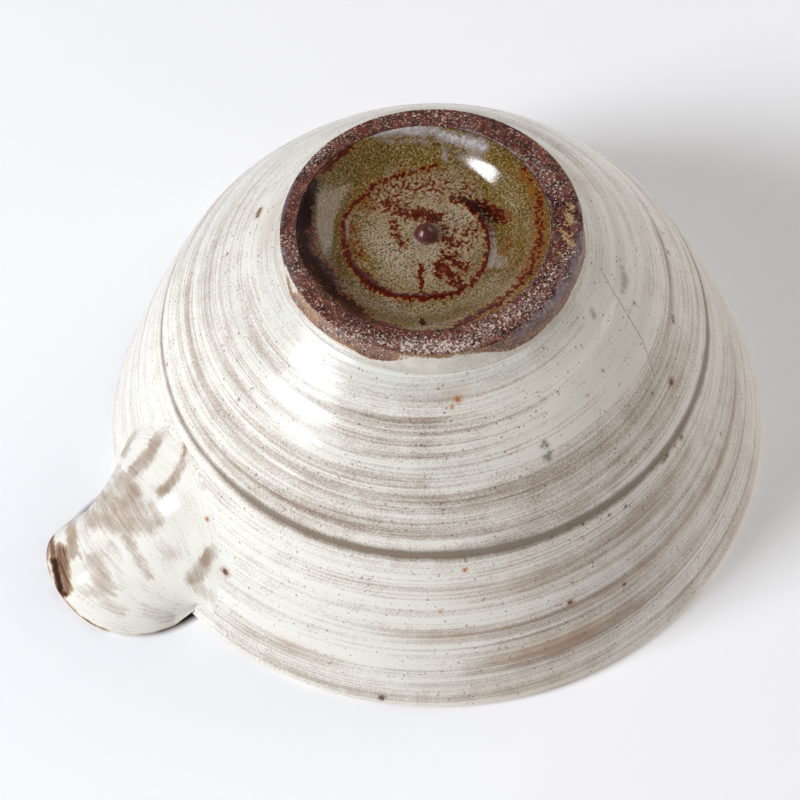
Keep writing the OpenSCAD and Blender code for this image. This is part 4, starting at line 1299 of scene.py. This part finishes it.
def brushed_slip():
    """Cover from the vertices, broken up by noise stretched along the brush and by fine grain, chooses
    between body and slip. Tints, the groove, the scratch, specks, spots and bare clay are laid over
    that."""
    material, tree, place = new_tree("brushed_white_slip_under_clear_glaze")
    cover, on_spout, groove, scratch = [
        add(tree, "Attribute", out="Fac", attribute_name=label)
        for label in ("cover", "spout", "groove", "scratch")
    ]
    rings, strokes, tints = [
        add(tree, "Attribute", out="Vector", attribute_name=label) for label in ("rings", "strokes", "tints")
    ]
    pooled, warm, iron = add(tree, "SeparateXYZ", {0: tints}).node.outputs
    grain, cloud = [
        add(tree, "TexNoise", {"Vector": place, "Scale": 1 / (size * MM), "Detail": detail})
        for size, detail in SLIP_NOISE
    ]
    lines = 0.0
    for width, cells, length, weight in BRISTLES:
        on_wall = add(tree, "VectorMath", {0: rings, 1: (cells, cells, 1 / width)}, operation="MULTIPLY")
        along = add(tree, "VectorMath", {0: strokes, 1: (1 / length, 1.0, 1 / width)}, operation="MULTIPLY")
        vector = add(tree, "Mix", {0: on_spout, 4: on_wall, 5: along}, 1, data_type="VECTOR")
        streak = add(tree, "TexNoise", {"Vector": vector, "Scale": 1.0, "Detail": 3.0, "Roughness": 0.6})
        lines = add(tree, "Math", {0: streak, 1: weight, 2: lines}, operation="MULTIPLY_ADD")
    uneven = lines
    for noise, weight in ((grain, GRAIN_WEIGHT), (cloud, CLOUD_WEIGHT)):
        uneven = add(tree, "Math", {0: noise, 1: weight, 2: uneven}, operation="MULTIPLY_ADD")
    offset = (sum(row[3] for row in BRISTLES) + GRAIN_WEIGHT + CLOUD_WEIGHT) / 2
    uneven = add(tree, "Math", {0: uneven, 1: offset}, operation="SUBTRACT")
    unevenness = add(tree, "MapRange", {0: on_spout, 3: 1.0, 4: SPOUT_UNEVEN})
    wet = add(tree, "Math", {0: uneven, 1: unevenness, 2: cover}, operation="MULTIPLY_ADD")
    colour = washed(tree, "#8F7B6A", wet, "#E6E3DA", SLIP_FROM, SLIP_FULL)

    for tint, noise, shade in ((pooled, cloud, "#D3DAD6"), (warm, grain, "#A97C52")):
        share = add(tree, "Math", {0: tint, 1: noise}, operation="MULTIPLY")
        colour = washed(tree, colour, share, shade)
    for noise, weight in zip((cloud, grain), GROOVE_NOISE):
        groove = add(tree, "Math", {0: noise, 1: weight, 2: groove}, operation="MULTIPLY_ADD")
    colour = washed(tree, colour, groove, "#776755", *GROOVE_RAMP)
    aside = add(tree, "Math", {0: scratch}, operation="ABSOLUTE")
    colour = washed(tree, colour, aside, "#6E655C", *SCRATCH_RAMP)

    apart = add(tree, "TexVoronoi", {"Vector": place, "Scale": 1 / (SPECK_MM * MM)})
    chance = add(tree, "TexNoise", {"Vector": place, "Scale": 1 / (CLUSTER_MM * MM)})
    speck_r = add(tree, "MapRange", {0: chance, 1: CLUSTER_FROM, 2: CLUSTER_FULL, 4: SPECK_MOST})
    speck = add(tree, "Math", {0: apart, 1: speck_r}, operation="LESS_THAN")
    strength = add(tree, "MapRange", {0: on_spout, 3: WALL_SPECKS, 4: SPOUT_SPECKS})
    speck = add(tree, "Math", {0: speck, 1: strength}, operation="MULTIPLY")
    colour = washed(tree, colour, speck, "#5C4B3E")

    ragged = add(tree, "Math", {0: grain, 1: SPOT_RAGGED}, operation="MULTIPLY")
    spots = [(kind, *spot) for kind, rows in WALL_SPOTS.items() for spot in rows]
    for kind, degrees, reach, radius in spots:
        wall_r, wall_z = along_wall(reach, outside)
        centre = tuple(turned(wall_r, degrees, wall_z) * MM)
        away = add(tree, "VectorMath", {0: place, 1: centre}, "Value", operation="DISTANCE")
        away = add(tree, "Math", {0: away, 1: ragged}, operation="ADD")
        size = radius * MM + SPOT_RAGGED / 2
        core, full, halo, faint = SPOT_KINDS[kind]
        for shade, (outer, inner), most in ((halo, HALO_R, faint), (core, CORE_R, full)):
            colour = washed(tree, colour, away, shade, size * outer, size * inner, most)

    bare = add(tree, "Math", {0: streak, 1: BARE_STREAKS, 2: iron}, operation="MULTIPLY_ADD")
    for start, full, most, shade in BARE_LIP:
        colour = washed(tree, colour, bare, shade, start, full, most)
    rough = add(tree, "MapRange", {0: wet, 1: SLIP_FROM, 2: SLIP_FULL, 3: ROUGH_BODY, 4: ROUGH_SLIP})
    sheen = add(tree, "MapRange", {0: bare, 1: BARE_FROM, 2: BARE_FULL, 3: SHEEN_GLAZED, 4: SHEEN_BARE})
    relief = add(tree, "Bump", {"Strength": LINE_STRENGTH, "Distance": LINE_MM * MM, "Height": lines})
    add(tree, "OutputMaterial", {"Surface": add(tree, "BsdfPrincipled", {
        "Base Color": colour, "Roughness": rough, "Specular IOR Level": sheen,
        "IOR": CLEAR_IOR, "Normal": relief,
    })})
    return material


slip = brushed_slip()
print("slip with", sum(len(spots) for spots in WALL_SPOTS.values()), "iron spots")

# %% [markdown]
# The foot ring is bare, iron-bearing clay, toasted dark red-brown in the kiln. Pale sand grains stand in
# it, one side has melted to a gloss, and here and there the wall's white glaze has run down over its
# side. To the eye it is dark and gritty, with a dull shine where it has melted.

# %% Bare toasted iron clay
# Toasted tones, sand grit and flecks: size in mm, detail. Grit finer than a pixel is drawn coarser.
CLAY_NOISE = ((2.4, 3.0), (0.34, 2.0), (0.5, 2.0))
TOAST_FROM, TOAST_FULL = 0.35, 0.65
SIDE_FROM, SIDE_FULL = 3.8, 4.15
ROUGH_CLAY, ROUGH_MELTED, CLAY_IOR = 0.42, 0.16, 1.5
GRIT_STRENGTH, GRIT_HIGH_MM = 0.7, 0.12


def bare_clay():
    """Noise of a few mm gives the toasted tones, and finer noise the grit of about half a mm."""
    material, tree, place = new_tree("bare_toasted_iron_clay")
    zone = add(tree, "Attribute", out="Fac", attribute_name="zone")
    (crust, melted, lilac_and_painted_sheen), (glazed, chips, runs) = [
        add(tree, "SeparateXYZ", {0: add(tree, "Attribute", out="Vector", attribute_name=label)}).node.outputs
        for label in ("crust", "glazed")
    ]
    tone, grain, fleck = [
        add(tree, "TexNoise", {"Vector": place, "Scale": 1 / (size * MM), "Detail": detail})
        for size, detail in CLAY_NOISE
    ]
    side = add(tree, "MapRange", {0: zone, 1: SIDE_FROM, 2: SIDE_FULL})
    colour = washed(tree, "#3C110B", tone, "#743527", TOAST_FROM, TOAST_FULL)
    for lying, dark, light in ((melted, "#330806", "#601509"), (side, "#5A3A34", "#8E6248")):
        toasted = washed(tree, dark, tone, light, TOAST_FROM, TOAST_FULL)
        colour = washed(tree, colour, lying, toasted)
    colour = marked(tree, colour, (
        (tone, 0.3, grain, 0.60, 0.48, 0.9, "#1A0604"), (crust, 0.2, grain, 0.58, 0.68, 0.75, "#A3867A"),
        # The grey-violet marks lay thin glaze and a painted sheen along the ring's edges.
        (crust, 0.2, fleck, 0.64, 0.72, 0.95, "#DCD2CB"), (lilac_and_painted_sheen, 0.5, tone, 0.62, 0.9, 0.85, "#766A74"),
        (chips, 0.4, fleck, 0.6, 0.8, 0.9, "#B59A6E"), (glazed, 1.0, fleck, 0.75, 0.95, 0.8, "#8F6A42"),
        (glazed, 1.0, fleck, 1.08, 1.4, 0.95, "#D6D2C8"), (glazed, 1.0, tone, 1.42, 1.7, 0.5, "#B3AA9B"),
    ))
    shine = melted
    for gloss in (lilac_and_painted_sheen, runs, side):
        shine = add(tree, "Math", {0: shine, 1: gloss}, operation="MAXIMUM")
    rough = add(tree, "MapRange", {0: shine, 3: ROUGH_CLAY, 4: ROUGH_MELTED})
    relief = add(tree, "Bump", {"Strength": GRIT_STRENGTH, "Distance": GRIT_HIGH_MM * MM, "Height": grain})
    add(tree, "OutputMaterial", {"Surface": add(tree, "BsdfPrincipled", {
        "Base Color": colour, "Roughness": rough, "IOR": CLAY_IOR, "Normal": relief,
    })})
    return material


clay = bare_clay()
print("clay with", len(clay.node_tree.nodes), "nodes")

# %% [markdown]
# Ash glaze melts to a thick, glassy olive. It is speckled where iron from the clay has boiled up through
# it, and breaks to rust on every ridge, where it has run thin. To the eye it is wet and deep, and it
# mirrors the window.

# %% Pooled olive ash glaze
# Speckle, rust flecks and slow clouds: size in mm, detail. Speckle finer than a pixel is drawn coarser.
POOL_NOISE = ((0.42, 2.0), (0.8, 3.0), (7.0, 2.0))
ROUGH_POOL, ROUGH_NUB, POOL_IOR = 0.14, 0.3, 1.52
# The middle of the pool is pitted, the band round it smooth. Where the dark marks lie, dark glaze and painted
# shade, there is less sheen.
PITTED, SMOOTH, PIT_MM = 0.8, 0.15, 0.12
DARK_FROM, DARK_FULL, SHEEN_OLIVE, SHEEN_DARK = 0.2, 0.9, 0.5, 0.12


def olive_glaze():
    """Fine noise speckles the olive. The rust value on the vertices, with noise added, is cut at a
    threshold, so rust comes in flecks that close up to lines and patches. The dark marks, dark glaze
    and painted shade, and the pale marks, pale glaze and painted reflection, do the same."""
    material, tree, place = new_tree("pooled_olive_ash_glaze")
    (rust, dark, milky_and_painted_reflection), (amber, nub, band) = [
        add(tree, "SeparateXYZ", {0: add(tree, "Attribute", out="Vector", attribute_name=label)}).node.outputs
        for label in ("marks", "places")
    ]
    fine, flecks, cloud = [
        add(tree, "TexNoise", {"Vector": place, "Scale": 1 / (size * MM), "Detail": detail})
        for size, detail in POOL_NOISE
    ]
    colour = marked(tree, "#AB9A80", (
        (band, 0.5, cloud, 0.4, 0.95, 1.0, "#6E551A"),
        (cloud, 0.2, fine, 0.61, 0.42, 0.95, "#2A1C08"), (cloud, 0.2, fine, 0.64, 0.80, 0.45, "#C8BAA2"),
        (amber, 0.45, flecks, 0.65, 0.95, 0.85, "#855218"),
        (rust, 0.40, flecks, 0.62, 0.74, 0.75, "#8A561C"), (rust, 0.40, flecks, 0.72, 0.78, 1.0, "#581402"),
        # Dark marks: dark glaze, and painted shade on the steep left wall of the well.
        (rust, 0.40, flecks, 0.86, 1.0, 0.9, "#2C0701"), (dark, 0.5, flecks, 0.74, 0.96, 0.97, "#220502"),
        # Pale marks: pale glaze, and painted reflection on the far wall of the well.
        (milky_and_painted_reflection, 0.5, cloud, 0.7, 1.05, 0.8, "#A69FA2"), (milky_and_painted_reflection, 0.5, flecks, 0.95, 1.15, 0.7, "#C9C4C4"),
    ))
    colour = washed(tree, colour, nub, "#52211E")
    pitted = add(tree, "MapRange", {0: band, 3: PITTED, 4: SMOOTH})
    rough = add(tree, "MapRange", {0: nub, 3: ROUGH_POOL, 4: ROUGH_NUB})
    sheen = add(tree, "MapRange", {0: dark, 1: DARK_FROM, 2: DARK_FULL, 3: SHEEN_OLIVE, 4: SHEEN_DARK})
    relief = add(tree, "Bump", {"Strength": pitted, "Distance": PIT_MM * MM, "Height": fine})
    add(tree, "OutputMaterial", {"Surface": add(tree, "BsdfPrincipled", {
        "Base Color": colour, "Roughness": rough, "Specular IOR Level": sheen,
        "IOR": POOL_IOR, "Normal": relief,
    })})
    return material


pool = olive_glaze()
print("pool with", len(pool.node_tree.nodes), "nodes")

# %% Finish
FINISHES = (
    (bowl, slip, "slipped_stoneware", ("bowl",)),
    (spout, slip, "slipped_stoneware", ("spout", "spout_lute")),
    (foot_ring, clay, "iron_clay", ("foot_ring",)),
    (foot_glaze, pool, "olive_glaze", ("foot_glaze",)),
)
for piece, material, slot_name, nodes in FINISHES:
    piece.data.materials.append(material)
    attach(piece, "root")
    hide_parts(*nodes)
